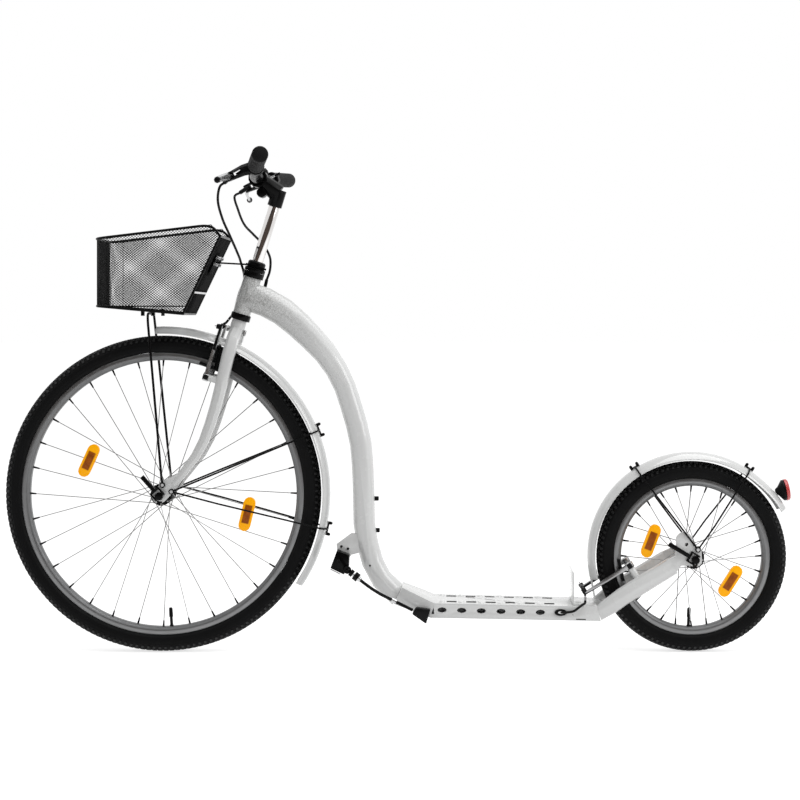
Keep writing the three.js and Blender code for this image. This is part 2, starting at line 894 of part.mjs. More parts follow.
// Where the lever turns, seen from the bar: forward and a little down.
const leverReach = { x: -48, z: -17, tipX: -78, tipZ: -43 };
const bracket = {
  sag: 6,
  halfWidth: [8, 9],
  halfDepth: [13, 9],
  eye: 9,
  eyeHalf: 8,
  adjuster: 4.5,
  adjusterLength: 22,
  slotHalf: 30,
  slotDepth: 5,
  slotFrom: -7.4,
  slotTo: 40,
  pin: 2.2,
  pinHalf: 7,
};
const blade = {
  root: 13,
  rootDrop: [-3, -1],
  kneeShare: 0.35,
  kneeDrop: [-4, -1],
  thick: 3.2,
  depth: [7.5, 6],
  neckShare: 0.2,
  neckHalf: 5,
  neckThick: 2.6,
  ball: 6.5,
  eye: 2.7,
  eyeHalf: 9,
};

function leverPivot(side) {
  const onBar = barPoint(side * lever.clampAt);
  return new THREE.Vector3(onBar.x + leverReach.x, side * lever.pivotAt, onBar.z + leverReach.z);
}

const pull = new THREE.Vector3(0.885, 0, 0.465);
const leverAxis = new THREE.Vector3(-pull.z, 0, pull.x);
const adjusterLean = new THREE.Vector3(-0.72, -0.45, -0.53);

function bracketSolid(side) {
  const from = side * lever.clampAt - lever.clampWidth / 2;
  const ring = alongBar(from, from + lever.clampWidth, lever.clampRadius, 1, bar.sides);
  const boreRadius = bar.radius + seat;
  const bore = alongBar(from - overrun, from + lever.clampWidth + overrun, boreRadius, 2, bar.sides);
  const pivot = leverPivot(side);
  const onBar = barPoint(side * lever.clampAt);
  const sag = onBar.clone().lerp(pivot, 1 / 2).setZ(onBar.z - bracket.sag);
  const arm = sweep([onBar, sag, pivot], 2, 6, (t) => [
    THREE.MathUtils.lerp(...bracket.halfWidth, t),
    THREE.MathUtils.lerp(...bracket.halfDepth, t),
  ]);
  const eye = cylinder(bracket.eye, -bracket.eyeHalf, bracket.eyeHalf, 10, pivot, leverAxis);
  const foot = pivot.clone().addScaledVector(left, -side * bracket.eye);
  const adjuster = cylinder(bracket.adjuster, 0, bracket.adjusterLength, 6, foot, adjusterDirection(side));
  const outward = left.clone().multiplyScalar(side);
  const across = leverAxis.clone().cross(outward).normalize();
  const slotRing = (at) =>
    oval(
      pivot.clone().addScaledVector(outward, at),
      across,
      leverAxis,
      bracket.slotHalf,
      bracket.slotDepth,
      4,
    );
  const slot = solid(loft([slotRing(bracket.slotFrom), slotRing(bracket.slotTo)]));
  const pin = cylinder(bracket.pin, -bracket.pinHalf, bracket.pinHalf, 6, pivot, leverAxis);
  return join(cut(join(ring, arm, eye, adjuster), bore, slot), pin);
}

// The cable leaves the lever towards the front, down and a little inwards.
function adjusterDirection(side) {
  return new THREE.Vector3(adjusterLean.x, side * adjusterLean.y, adjusterLean.z).normalize();
}

function leverSolid(side) {
  const pivot = leverPivot(side);
  const tipBar = barPoint(side * lever.tipAt);
  const tip = new THREE.Vector3(tipBar.x + leverReach.tipX, side * lever.tipAt, tipBar.z + leverReach.tipZ);
  const drop = ([x, z]) => new THREE.Vector3(x, 0, z);
  const root = pivot.clone().addScaledVector(left, side * blade.root).add(drop(blade.rootDrop));
  const knee = root.clone().lerp(tip, blade.kneeShare).add(drop(blade.kneeDrop));
  const size = (t) => [blade.thick, THREE.MathUtils.lerp(...blade.depth, t)];
  const body = sweep([root, knee, tip], 4, 6, size, pull);
  const neckEnd = root.clone().lerp(knee, blade.neckShare);
  const neck = sweep([pivot, neckEnd], 1, 6, () => [blade.neckHalf, blade.neckThick], pull);
  const ball = turned(
    Array.from({ length: 5 }, (_, k) => {
      const angle = (Math.PI * k) / 4;
      return [blade.ball * Math.sin(angle), -blade.ball * Math.cos(angle)];
    }),
    8,
    tip,
  );
  const eye = cylinder(blade.ball, -blade.neckThick, blade.neckThick, 10, pivot, leverAxis);
  const hole = cylinder(blade.eye, -blade.eyeHalf, blade.eyeHalf, 6, pivot, leverAxis);
  return cut(join(body, neck, ball, eye), hole);
}
for (const [name, side] of [["left", -1], ["right", 1]]) {
  piece("brake_bracket_" + name, bracketSolid(side), "black", steeringGroup);
  piece("brake_lever_" + name, leverSolid(side), "steel", steeringGroup);
}

// Bell: a small dome on a band round the bar, with its thumb striker
const bell = {
  at: 98,
  radius: 13,
  height: 15,
  band: 9,
  bandWall: 3.2,
  rim: 12,
  shoulder: 19,
  crown: 25,
  crownShare: 0.8,
  postRadius: 4,
  postFrom: 8,
  postTo: 14,
};
const bellUp = new THREE.Vector3(-0.35, 0, 0.94).normalize();

function bellSolid() {
  const onBar = barPoint(bell.at);
  const bandHalf = bell.band / 2;
  const ring = alongBar(bell.at - bandHalf, bell.at + bandHalf, bar.radius + bell.bandWall, 1, 14);
  const bore = alongBar(bell.at - bell.band, bell.at + bell.band, bar.radius + seat, 1, 14);
  const dome = turned(
    [
      [0, bell.rim],
      [bell.radius, bell.rim],
      [bell.radius, bell.shoulder],
      [bell.radius * bell.crownShare, bell.crown],
      [0, bell.rim + bell.height],
    ],
    12,
    onBar,
    bellUp,
  );
  const post = cylinder(bell.postRadius, bell.postFrom, bell.postTo, 8, onBar, bellUp);
  return cut(join(ring, dome, post), bore);
}
piece("bell", bellSolid(), "black", steeringGroup);

const striker = {
  inner: 13,
  outer: 36,
  radius: 1.8,
  aside: 17,
  band: 5,
  wall: 3,
  clearance: 1.2,
  pad: 10,
  padPast: 2,
  padWall: 1,
};
const strikerLine = new THREE.Vector3(0.9, 0, 0.43).normalize();

function strikerSolid() {
  const at = bell.at - striker.aside;
  const onBar = barPoint(at);
  const bandHalf = striker.band / 2;
  const ring = alongBar(at - bandHalf, at + bandHalf, bar.radius + striker.wall, 1, bar.sides);
  const bore = alongBar(at - bell.band, at + bell.band, bar.radius + striker.clearance, 1, bar.sides);
  const reach = (distance) => onBar.clone().addScaledVector(strikerLine, distance);
  const arm = rod([reach(striker.inner), reach(striker.outer)], striker.radius, 6);
  const padEnds = [reach(striker.outer - striker.pad), reach(striker.outer + striker.padPast)];
  const pad = rod(padEnds, striker.radius + striker.padWall, 6);
  return join(cut(ring, bore), arm, pad);
}
piece("bell_striker", strikerSolid(), "black", steeringGroup);

// Fenders

const sectionShares = [-1, -0.7, 0, 0.7, 1];
const flareFromShare = 0.86;

// A fender: a curved channel that follows a wheel between two bearings, flaring at its tail.
function fenderShell(centre, radius, fromDegrees, toDegrees, steps, flare) {
  const rings = [];
  for (let k = 0; k <= steps; k++) {
    const t = k / steps;
    const degrees = fromDegrees + (toDegrees - fromDegrees) * t;
    const lift = flare * THREE.MathUtils.smoothstep(t, flareFromShare, 1);
    const ring = [];
    const outerAt = (share) => {
      const drop = (fender.crown - fender.edge) * Math.abs(share) ** fender.roundness;
      return radius + fender.crown + lift - drop;
    };
    for (const share of sectionShares) {
      ring.push(round(centre, outerAt(share), degrees, share * fender.half));
    }
    for (const share of [...sectionShares].reverse()) {
      const inset = 1 - fender.thick / fender.half;
      ring.push(round(centre, outerAt(share) - fender.thick, degrees, share * inset * fender.half));
    }
    rings.push(ring);
  }
  return rings;
}

// Skins a fender's rings, with each end closed by a strip of quads.
function fenderSolid(rings) {
  const count = rings[0].length;
  const half = count / 2;
  const faces = [];
  for (let r = 0; r + 1 < rings.length; r++) {
    for (let s = 0; s < count; s++) {
      const a = r * count + s;
      const b = r * count + ((s + 1) % count);
      faces.push(a, b, b + count, a, b + count, a + count);
    }
  }
  const last = (rings.length - 1) * count;
  for (let s = 0; s + 1 < half; s++) {
    const other = count - 1 - s;
    faces.push(s, other, s + 1, s + 1, other, other - 1);
    faces.push(last + s, last + s + 1, last + other, last + s + 1, last + other - 1, last + other);
  }
  const geometry = new THREE.BufferGeometry().setFromPoints(rings.flat());
  geometry.setIndex(faces);
  return solid(geometry);
}

const frontFenderSpan = { from: -2.4, to: 123.6, stays: [67.9, 102.1] };
const rearFenderSpan = { from: -103, to: 62.9, stays: [-32.4, 33.4], flare: 4, tabAt: -100 };
const fenderTab = {
  half: 12,
  rise: 6,
  root: [-1, 2],
  bend: 12,
  end: 26,
  under: 9,
  bendZ: 103,
  endZ: 101.4,
  endLowZ: 98.9,
  underZ: 99.3,
};

piece(
  "front_fender",
  fenderSolid(fenderShell(frontAxle, frontRadius, frontFenderSpan.from, frontFenderSpan.to, 18, 0)),
  "fenderWhite",
  steeringGroup,
);

// The tab that holds the rear fender's front end above the end of the deck
function rearFenderSolid() {
  const span = rearFenderSpan;
  const shell = fenderSolid(fenderShell(rearAxle, rearRadius, span.from, span.to, 21, span.flare));
  const end = round(rearAxle, rearRadius + fender.crown - fender.thick, span.tabAt, 0);
  const tab = plate(
    [
      [end.x + fenderTab.root[0], end.z + fenderTab.rise],
      [end.x + fenderTab.root[1], end.z + fenderTab.rise],
      [end.x + fenderTab.bend, fenderTab.bendZ],
      [end.x + fenderTab.end, fenderTab.endZ],
      [end.x + fenderTab.end, fenderTab.endLowZ],
      [end.x + fenderTab.under, fenderTab.underZ],
    ],
    -fenderTab.half,
    fenderTab.half,
  );
  return join(shell, tab);
}
piece("rear_fender", rearFenderSolid(), "fenderWhite", frameGroup);

// The stays' way over the fender: height over the tyre and distance in from the fender's edge.
const stayWrap = [
  { over: 7, inside: -2.4 },
  { over: 14, inside: 2 },
  { over: 18.6, inside: 10 },
];
const stayForm = {
  edgeOver: 2,
  bendShare: 0.32,
  flareShare: 0.8,
  flareOut: 9,
  edgeOut: 2.6,
  topInside: 17,
  clipDegrees: 1.9,
  clipHeight: 5,
  clipRadius: 3.2,
  strapDegrees: 2.4,
  strapRadius: 1.8,
  screwLength: 4,
};

// A pair of screw heads on the outsides of the two dropouts
function eyeletScrews(out, eye, facets) {
  return [-1, 1].map((side) =>
    cylinder(
      eyelet.radius,
      side * out - (side < 0 ? stayForm.screwLength : 0),
      side * out + (side > 0 ? stayForm.screwLength : 0),
      facets,
      eye,
    ),
  );
}

// A pair of wire stays that meet at the eyelet screws and cross over the fender in two places
function fenderStays(centre, radius, eyeletAt, degreesList) {
  const eye = new THREE.Vector3(centre.x + eyeletAt[0], 0, centre.z + eyeletAt[1]);
  const face = hubWidth / 2 + dropout.thick + 2 * seat;
  const out = face + wire.stayRadius;
  const over = radius + fender.crown + seat + wire.stayRadius;
  const made = degreesList.map((degrees) => {
    const edge = round(centre, radius + stayForm.edgeOver, degrees, 0);
    const onLine = (share, y) => eye.clone().lerp(edge, share).setY(y);
    const half = [
      onLine(0, -out),
      onLine(stayForm.bendShare, -out),
      onLine(stayForm.flareShare, -fender.half - stayForm.flareOut),
      onLine(1, -fender.half - stayForm.edgeOut),
      ...stayWrap.map((step) => round(centre, radius + step.over, degrees, -fender.half + step.inside)),
      round(centre, over, degrees, -fender.half + stayForm.topInside),
    ];
    const mirrored = half.map((q) => new THREE.Vector3(q.x, -q.y, q.z)).reverse();
    const wireBody = bentWire([...half, ...mirrored], wire.stayRadius, wire.facets);
    const clips = [-1, 1].map((side) => {
      const at = degrees + side * stayForm.clipDegrees;
      const foot = round(centre, over - wire.stayRadius, at, 0);
      return rod([foot, round(centre, over + stayForm.clipHeight, at, 0)], stayForm.clipRadius, 5);
    });
    const strapEnds = [-1, 1].map((side) => round(centre, over, degrees + side * stayForm.strapDegrees, 0));
    return join(wireBody, rod(strapEnds, stayForm.strapRadius, 4), ...clips);
  });
  return join(...made, ...eyeletScrews(face, eye, 8));
}
piece(
  "front_fender_stays",
  fenderStays(frontAxle, frontRadius, eyelet.fenderFront, frontFenderSpan.stays),
  "blackWire",
  steeringGroup,
);
piece(
  "rear_fender_stays",
  fenderStays(rearAxle, rearRadius, eyelet.fenderRear, rearFenderSpan.stays),
  "blackWire",
  frameGroup,
);

// The bolt through the fork crown with the strip that carries the front fender
const fenderStrip = {
  standOff: 1.5,
  endStandOff: 2.2,
  above: 6,
  below: 12,
  endAboveAxle: 338,
  half: 8,
  thick: 1.4,
  squareness: 0.4,
  headLift: 1,
};

function fenderBracketSolid() {
  const reach = forkTube.crownWidth / 2 + seat;
  const centre = steer(0, 0, crownBolt.along);
  const end = reach + crownBolt.headThick;
  const bolt = cylinder(crownBolt.radius, -end, end, 10, centre, back);
  const nut = cylinder(crownBolt.head, -end, -reach, 6, centre, back);
  const line = [
    steer(reach + fenderStrip.standOff, 0, crownBolt.along + fenderStrip.above),
    steer(reach + fenderStrip.standOff, 0, crownBolt.along - fenderStrip.below),
    steer(reach + fenderStrip.endStandOff, 0, fenderStrip.endAboveAxle - forkLength),
  ];
  const size = () => [fenderStrip.half, fenderStrip.thick];
  const strip = sweep(line, 2, 4, size, left, fenderStrip.squareness);
  const head = cylinder(crownBolt.head, reach + fenderStrip.headLift, end, 6, centre, back);
  return join(bolt, nut, strip, head);
}
piece("front_fender_bracket", fenderBracketSolid(), "steel", steeringGroup);

// Tail light
const light = {
  radius: 22,
  lensThick: 7,
  lensEdge: 1.5,
  lensRound: 2.5,
  depth: 19,
  backRadius: 5,
  shoulder: 9,
  shoulderShare: 0.7,
  step: 1,
  collar: 4,
  tilt: 9.6,
  inset: 4,
  above: 134.4,
  standOff: 3.4,
};
const lightAngle = THREE.MathUtils.degToRad(light.tilt);
const lightAxis = new THREE.Vector3(Math.cos(lightAngle), 0, Math.sin(lightAngle));
const lensFace = new THREE.Vector3(rearAxle.x + lightReach - light.inset, 0, rearAxle.z + light.above);

function lensSolid() {
  const profile = [
    [0, -light.lensThick],
    [light.radius, -light.lensThick],
    [light.radius, -light.lensEdge],
    [light.radius - light.lensRound, 0],
    [0, 0],
  ];
  return turned(profile, 20, lensFace, lightAxis);
}

function lightHousingSolid() {
  const mouth = -light.lensThick - seat;
  const profile = [
    [0, mouth - light.depth],
    [light.backRadius, mouth - light.depth],
    [light.shoulder, mouth - light.depth * light.shoulderShare],
    [light.radius - light.step, mouth - light.collar],
    [light.radius - light.step, mouth],
    [0, mouth],
  ];
  const fenderFace = rearRadius + fender.crown + light.standOff;
  const fenderSpace = cylinder(fenderFace, -fender.half, fender.half, 60, rearAxle);
  return cut(turned(profile, 16, lensFace, lightAxis), fenderSpace);
}
piece("tail_light_lens", lensSolid(), "red", frameGroup);
piece("tail_light_housing", lightHousingSolid(), "black", frameGroup);

// Frame

// The main tube's line from the head to the front of the deck, as shares of that span.
const tubeStart = steer(0, 0, headTube.joint);
const tubeFoot = { x: -3.6, z: 118.7 };
const tubeEnd = new THREE.Vector3(frameDatum + tubeFoot.x, 0, tubeFoot.z);
const tubeLineShares = [
  [0, 1],
  [0.09, 0.985],
  [0.187, 0.964],
  [0.287, 0.927],
  [0.388, 0.88],
  [0.552, 0.789],
  [0.651, 0.698],
  [0.709, 0.608],
  [0.758, 0.513],
  [0.776, 0.412],
  [0.782, 0.311],
  [0.783, 0.243],
  [0.817, 0.142],
  [0.883, 0.056],
  [0.99, 0.001],
  [1.09, -0.05],
];
const headTaperShares = { from: 0.05, to: 0.38 };

function tubeLine() {
  return tubeLineShares.map(
    ([x, z]) =>
      new THREE.Vector3(
        tubeStart.x + x * (tubeEnd.x - tubeStart.x),
        0,
        tubeEnd.z + z * (tubeStart.z - tubeEnd.z),
      ),
  );
}

const bottleBoss = { spacing: 64, low: 244, radius: 4, stand: 4, sunk: 1 };
const deckMouth = { top: 8.5, topZ: 134, low: -8, lowZ: 100, half: 31 };
const deckFront = {
  topX: frameDatum + deckMouth.top,
  topZ: deckMouth.topZ,
  lowX: frameDatum + deckMouth.low,
  lowZ: deckMouth.lowZ,
  half: deckMouth.half,
};
const slant = 20;

// The stand bracket on the tube's left side, its outline from the stand's datum
const standBracket = {
  thick: 5,
  y: -9,
  outline: [
    [-124, 217.7],
    [-93.8, 240.1],
    [-66, 236],
    [-58, 205],
    [-94, 196],
    [-99, 189],
    [-122, 198],
  ],
};

// The stand is laid out from a datum behind the tube's upright stretch.
const uprightShare = 0.783;
const standSetback = -69.228622;
const standDatum = tubeStart.x + uprightShare * (tubeEnd.x - tubeStart.x) - standSetback;

// Moves an outline to its place along the bike.
function placed(outline, datum) {
  return outline.map(([x, z]) => [x + datum, z]);
}

function mainTubeSolid() {
  const size = (t) => {
    const share = THREE.MathUtils.smoothstep(t, headTaperShares.from, headTaperShares.to);
    return [mainTube.width / 2, THREE.MathUtils.lerp(mainTube.headDepth, mainTube.width, share) / 2];
  };
  const tube = sweep(tubeLine(), 19, 12, size);
  const { radius, low, high, bore, trim, joint } = headTube;
  const head = cylinder(radius, low, high, 16, crown, up);
  const hole = cylinder(bore, low - trim, high + trim, 16, crown, up);
  const above = cylinder(headTube.aboveRadius, high + seat, high + trim, 4, crown, up);
  const below = cylinder(trim, low - trim, low, 4, crown, up);
  const ahead = cylinder(headTube.aheadRadius, -headTube.aheadRadius, 0, 4, steer(0, 0, joint), back);
  const bolts = [0, 1].map((k) => {
    const z = bottleBoss.low + k * bottleBoss.spacing;
    const foot = new THREE.Vector3(tubeSurfaceX(z), 0, z);
    return cylinder(bottleBoss.radius, 0, bottleBoss.stand, 10, foot, new THREE.Vector3(1, 0, 0));
  });
  const plateLow = standBracket.y - standBracket.thick;
  const plateOnSide = plate(placed(standBracket.outline, standDatum), plateLow, standBracket.y);
  const behind = plate(
    [
      [deckFront.topX + slant, deckFront.topZ + 2 * slant],
      [deckFront.topX - seat, deckFront.topZ],
      [deckFront.lowX - seat, deckFront.lowZ],
      [deckFront.lowX - slant, deckFront.lowZ - 2 * slant],
      [deckFront.topX + 4 * slant, deckFront.lowZ - 2 * slant],
      [deckFront.topX + 4 * slant, deckFront.topZ + 2 * slant],
    ],
    -deck.half,
    deck.half,
  );
  const trimmed = cut(tube, ahead, above, below, behind);
  return cut(join(trimmed, head, ...bolts, plateOnSide), hole);
}

// The rear surface of the straight part of the tube at a height.
function tubeSurfaceX(z) {
  const curve = new THREE.CatmullRomCurve3(tubeLine(), false, "centripetal");
  let best = curve.getPointAt(0);
  for (let k = 0; k <= 400; k++) {
    const point = curve.getPointAt(k / 400);
    if (Math.abs(point.z - z) < Math.abs(best.z - z)) best = point;
  }
  return best.x + mainTube.width / 2 - bottleBoss.sunk;
}
piece("main_tube", mainTubeSolid(), "white", frameGroup);

// The deck: a folded box with oval holes along both sides and a slanted front that meets the tube.
const deckPlan = { front: 74, rear: 398, grommet: 324.9, firstHole: 88.5, guard: 350 };
const deckLine = {
  frontX: frameDatum + deckPlan.front,
  frontZ: 105.5,
  rearX: frameDatum + deckPlan.rear,
  rearZ: 98.4,
  depth: 28.5,
  rearLean: 7,
  frontLean: 8,
  frontDrop: 0.5,
};
const insetShares = { topDrop: 1.3, footBack: 1.2, footRise: 0.6 };
const firstHole = { x: frameDatum + deckPlan.firstHole, z: 92.2, drop: 0.95 };
const grommetAt = {
  x: frameDatum + deckPlan.grommet,
  z: 87.4,
  halfLength: 12,
  halfHeight: 6.2,
  thick: 3,
  lip: 1,
  flange: 1.5,
  wall: 1.8,
};

function deckOutline(inset) {
  return [
    [deckFront.topX + inset, deckFront.topZ - inset * insetShares.topDrop],
    [deckLine.frontX, deckLine.frontZ - inset],
    [deckLine.rearX - inset, deckLine.rearZ - inset],
    [deckLine.rearX + deckLine.rearLean - inset, deckLine.rearZ - deckLine.depth + inset],
    [
      deckLine.frontX - deckLine.frontLean,
      deckLine.frontZ - deckLine.depth - deckLine.frontDrop + inset,
    ],
    [deckFront.lowX + inset * insetShares.footBack, deckFront.lowZ + inset * insetShares.footRise],
  ];
}

// The height of the deck's top at a distance along the bike.
function deckTop(x) {
  const slope = (deckLine.rearZ - deckLine.frontZ) / (deckLine.rearX - deckLine.frontX);
  return deckLine.frontZ + (x - deckLine.frontX) * slope;
}

const bump = { rows: 6, radius: 9, height: 2.2, inset: 16, root: 1, topShare: 0.6 };

// The pressed bumps that give the shoe a hold, in two rows along the deck's top
function deckBumps() {
  const profile = [
    [0, -bump.root],
    [bump.radius, -bump.root],
    [bump.radius * bump.topShare, bump.height],
    [0, bump.height],
  ];
  const bumps = [];
  for (let k = 0; k < bump.rows; k++) {
    for (const side of [-1, 1]) {
      const x = firstHole.x + k * deck.pitch;
      const foot = new THREE.Vector3(x, side * (deck.half - bump.inset), deckTop(x));
      bumps.push(turned(profile, 6, foot, new THREE.Vector3(0, 0, 1)));
    }
  }
  return bumps;
}

// Where the deck widens from the tube's width to its own, in plan from the frame's datum
const taper = { from: -40, start: -15, end: 62, innerEnd: 66, innerGap: 0.2, height: 200 };

// A wedge beside the deck that cuts its front end to the taper.
function taperWedge(side, narrow, wide, end) {
  const at = (x, y) => new THREE.Vector2(x + frameDatum, side * y);
  const reach = deck.half + overrun;
  const shape = new THREE.Shape([
    at(taper.from, narrow),
    at(taper.start, narrow),
    at(end, wide),
    at(end, reach),
    at(taper.from, reach),
  ]);
  return solid(new THREE.ExtrudeGeometry(shape, { depth: taper.height, bevelEnabled: false }));
}

const sideNotch = {
  outline: [
    [67, 84],
    [73, 84],
    [72, 98],
  ],
};

function deckSolid() {
  const reach = deck.half + overrun;
  const innerHalf = deck.half - deck.wall;
  const outer = plate(deckOutline(0), -deck.half, deck.half);
  const inner = plate(deckOutline(deck.wall), -innerHalf, innerHalf);
  const outerWedges = [-1, 1].map((side) => taperWedge(side, deckFront.half, deck.half, taper.end));
  const innerWedges = [-1, 1].map((side) =>
    taperWedge(side, deckFront.half - deck.wall, innerHalf - taper.innerGap, taper.innerEnd),
  );
  const holes = Array.from({ length: deck.holes }, (_, k) => {
    const x = firstHole.x + k * deck.pitch;
    const z = firstHole.z - k * firstHole.drop;
    return plate(ellipseOutline(x, z, deck.holeLength / 2, deck.holeHeight / 2, 8), -reach, reach);
  });
  const cableHole = plate(grommetOutline(0), -reach, 0);
  const notch = plate(placed(sideNotch.outline, frameDatum), -reach, reach);
  const shell = cut(outer, ...outerWedges);
  const hollow = cut(inner, ...innerWedges);
  return join(cut(shell, hollow, ...holes, cableHole, notch), ...deckBumps());
}

// The outline of the cable's hole in the deck's side, grown or shrunk.
function grommetOutline(grow) {
  const halfLength = grommetAt.halfLength - grommetAt.lip + grow;
  const halfHeight = grommetAt.halfHeight - grommetAt.lip + grow;
  return ellipseOutline(grommetAt.x, grommetAt.z, halfLength, halfHeight, 14);
}
piece("deck", deckSolid(), "white", frameGroup);

// Rear stays with their dropouts
const stayDirection = new THREE.Vector3(0.8484, 0, 0.5294);
const stayUp = new THREE.Vector3(-stayDirection.z, 0, stayDirection.x);
const stayPlan = { x: 549.7, z: 179.2 };
const stayPoint = new THREE.Vector3(frameDatum + stayPlan.x, 0, stayPlan.z);
const stayY = deck.half - stay.width / 2;

function onStay(along, above, y) {
  return stayPoint.clone().addScaledVector(stayDirection, along).addScaledVector(stayUp, above).setY(y);
}

const rearPivot = { along: -73, above: 38 };
const stayEnd = { back: -6, top: 17, low: -15, frontBack: 14, frontLow: -8, eyeWall: 2 };
const lobe = {
  x: -22,
  z: 38,
  radius: 17,
  neck: [
    [-40, 2],
    [0, 8],
    [-6, 36],
    [-38, 38],
  ],
  hole: { x: -17, z: 30, radius: 4 },
};

function slotOutline(centre) {
  const half = axle.radius + seat;
  return [
    ...ellipseOutline(centre.x, centre.z, half, half, 12).slice(0, 7),
    [centre.x - half, centre.z - dropout.round - overrun],
    [centre.x + half, centre.z - dropout.round - overrun],
  ];
}

// The rounded lobe above the left dropout, with its bolt hole
function dropoutLobe(from, to) {
  const at = (x, z) => [rearAxle.x + x, rearAxle.z + z];
  const disc = plate(ellipseOutline(...at(lobe.x, lobe.z), lobe.radius, lobe.radius, 16), from, to);
  const neck = plate(lobe.neck.map(([x, z]) => at(x, z)), from, to);
  const { x, z, radius } = lobe.hole;
  const hole = plate(ellipseOutline(...at(x, z), radius, radius, 10), from - overrun, to + overrun);
  return cut(join(disc, neck), hole);
}

function rearDropout(side) {
  const from = side > 0 ? hubWidth / 2 + seat : -hubWidth / 2 - seat - dropout.thick;
  const to = from + dropout.thick;
  const edge = [
    onStay(stayEnd.back, stayEnd.top, 0),
    onStay(stayEnd.back, stayEnd.low, 0),
    onStay(stayEnd.frontBack, stayEnd.frontLow, 0),
  ];
  const [eyeX, eyeZ] = eyelet.fenderRear;
  const eyeRadius = eyelet.radius + stayEnd.eyeWall;
  const outline = [
    ...edge.map((q) => [q.x, q.z]),
    ...ellipseOutline(rearAxle.x, rearAxle.z, dropout.round, dropout.round, 14).slice(9, 14),
    ...ellipseOutline(rearAxle.x + eyeX, rearAxle.z + eyeZ, eyeRadius, eyeRadius, 10).slice(0, 4),
  ];
  const body = plate(outline, from, to);
  const slot = plate(slotOutline(rearAxle), from - overrun, to + overrun);
  return cut(side < 0 ? join(body, dropoutLobe(from, to)) : body, slot);
}

// The stay's first two places from the end of the deck: back from its edge and up from its middle
const stayRoot = [
  [4, -0.2],
  [12, 2.5],
];
const stayShape = { bendBack: -130, swellShare: 0.22, squareness: 0.75, ahead: 60, lowBack: 12, trim: 20 };

function staySolid(side) {
  const y = side * stayY;
  const middle = deckLine.rearZ - deckLine.depth / 2;
  const line = [
    ...stayRoot.map(([along, rise]) => new THREE.Vector3(deckLine.rearX + along, y, middle + rise)),
    onStay(stayShape.bendBack, 0, y),
    onStay(0, 0, y),
  ];
  const size = (t) => {
    const share = THREE.MathUtils.smoothstep(t, 0, stayShape.swellShare);
    return [stay.width / 2, THREE.MathUtils.lerp(stay.rootDepth, stay.depth, share) / 2];
  };
  const tube = sweep(line, 6, 10, size, left, stayShape.squareness);
  const root = onStay(rearPivot.along, 0, side * brake.bossHalf);
  const postEnd = rearPivot.above + boss.armThick + seat;
  const post = join(
    cylinder(boss.radius, 0, rearPivot.above, 10, root, stayUp),
    cylinder(boss.post, rearPivot.above, postEnd, 8, root, stayUp),
  );
  const endX = deckLine.rearX + seat;
  const { ahead, lowBack, trim } = stayShape;
  const deckSpace = plate(
    [
      [deckLine.rearX - ahead, deckLine.rearZ + trim],
      [endX, deckLine.rearZ + trim],
      [endX, deckLine.rearZ],
      [endX + deckLine.rearLean, deckLine.rearZ - deckLine.depth],
      [endX + lowBack, deckLine.rearZ - deckLine.depth - trim],
      [deckLine.rearX - ahead, deckLine.rearZ - deckLine.depth - trim],
    ],
    -deck.half - trim,
    deck.half + trim,
  );
  return join(cut(tube, deckSpace), post, rearDropout(side));
}
piece("rear_stay_left", staySolid(-1), "white", frameGroup);
piece("rear_stay_right", staySolid(1), "white", frameGroup);

// The upright guard that keeps the heel off the rear brake
const guard = { x: frameDatum + deckPlan.guard, half: 47, top: 165, thick: 2.5, foot: 18 };

function guardSolid() {
  const topAt = (x) => deckTop(x) + seat;
  return plate(
    [
      [guard.x, topAt(guard.x)],
      [guard.x + guard.foot, topAt(guard.x + guard.foot)],
      [guard.x + guard.foot, topAt(guard.x + guard.foot) + guard.thick],
      [guard.x + guard.thick, topAt(guard.x) + guard.thick],
      [guard.x + guard.thick, guard.top],
      [guard.x, guard.top],
    ],
    -guard.half,
    guard.half,
  );
}
piece("heel_guard", guardSolid(), "white", frameGroup);

// Rubber grommet in the deck's side for the rear brake cable
function grommetSolid() {
  const { thick, lip, flange, wall } = grommetAt;
  const neck = plate(grommetOutline(-seat), lip - thick - deck.half, deck.wall - deck.half);
  const ring = plate(grommetOutline(flange), -deck.half - thick, -deck.half - seat);
  const hole = plate(grommetOutline(-wall), -deck.half - slant, -deck.half + slant);
  return cut(join(neck, ring), hole);
}
piece("cable_grommet", grommetSolid(), "rubber", frameGroup);

// Side stand: a bolted head and the folding leg with its rubber foot, from the stand's datum
const standHead = {
  half: 13,
  wall: 2.5,
  outline: [
    [-121.9, 207.6],
    [-97.2, 198.2],
    [-98, 176],
    [-108, 160],
    [-134.8, 173],
  ],
  inside: [
    [-119, 201],
    [-100, 193.5],
    [-101, 180],
    [-110, 168],
    [-131, 176],
  ],
};
const standHinge = { x: -101, y: -46.5, z: 170.5 };
const standPivot = new THREE.Vector3(standDatum + standHinge.x, standHinge.y, standHinge.z);
const standAxis = new THREE.Vector3(-0.28, 0.96, 0).normalize();
const standPin = { radius: 3.2, eye: 8, half: 3, near: 2, far: 6 };
const standLeg = {
  radius: 3.4,
  knob: 7,
  knobShares: [0.2, 0.1],
  route: [
    [-99, -46.6, 169],
    [-82.7, -48, 156.9],
    [-60, -52, 139.5],
    [-36, -56, 124.5],
    [-13.4, -60, 113.8],
    [12, -63, 101.8],
    [37.4, -66.2, 89.5],
  ],
  foot: [
    [33, 97],
    [52, 92],
    [66, 70],
    [60, 66],
    [31, 84],
  ],
  footFrom: -75,
  footTo: -60.5,
};

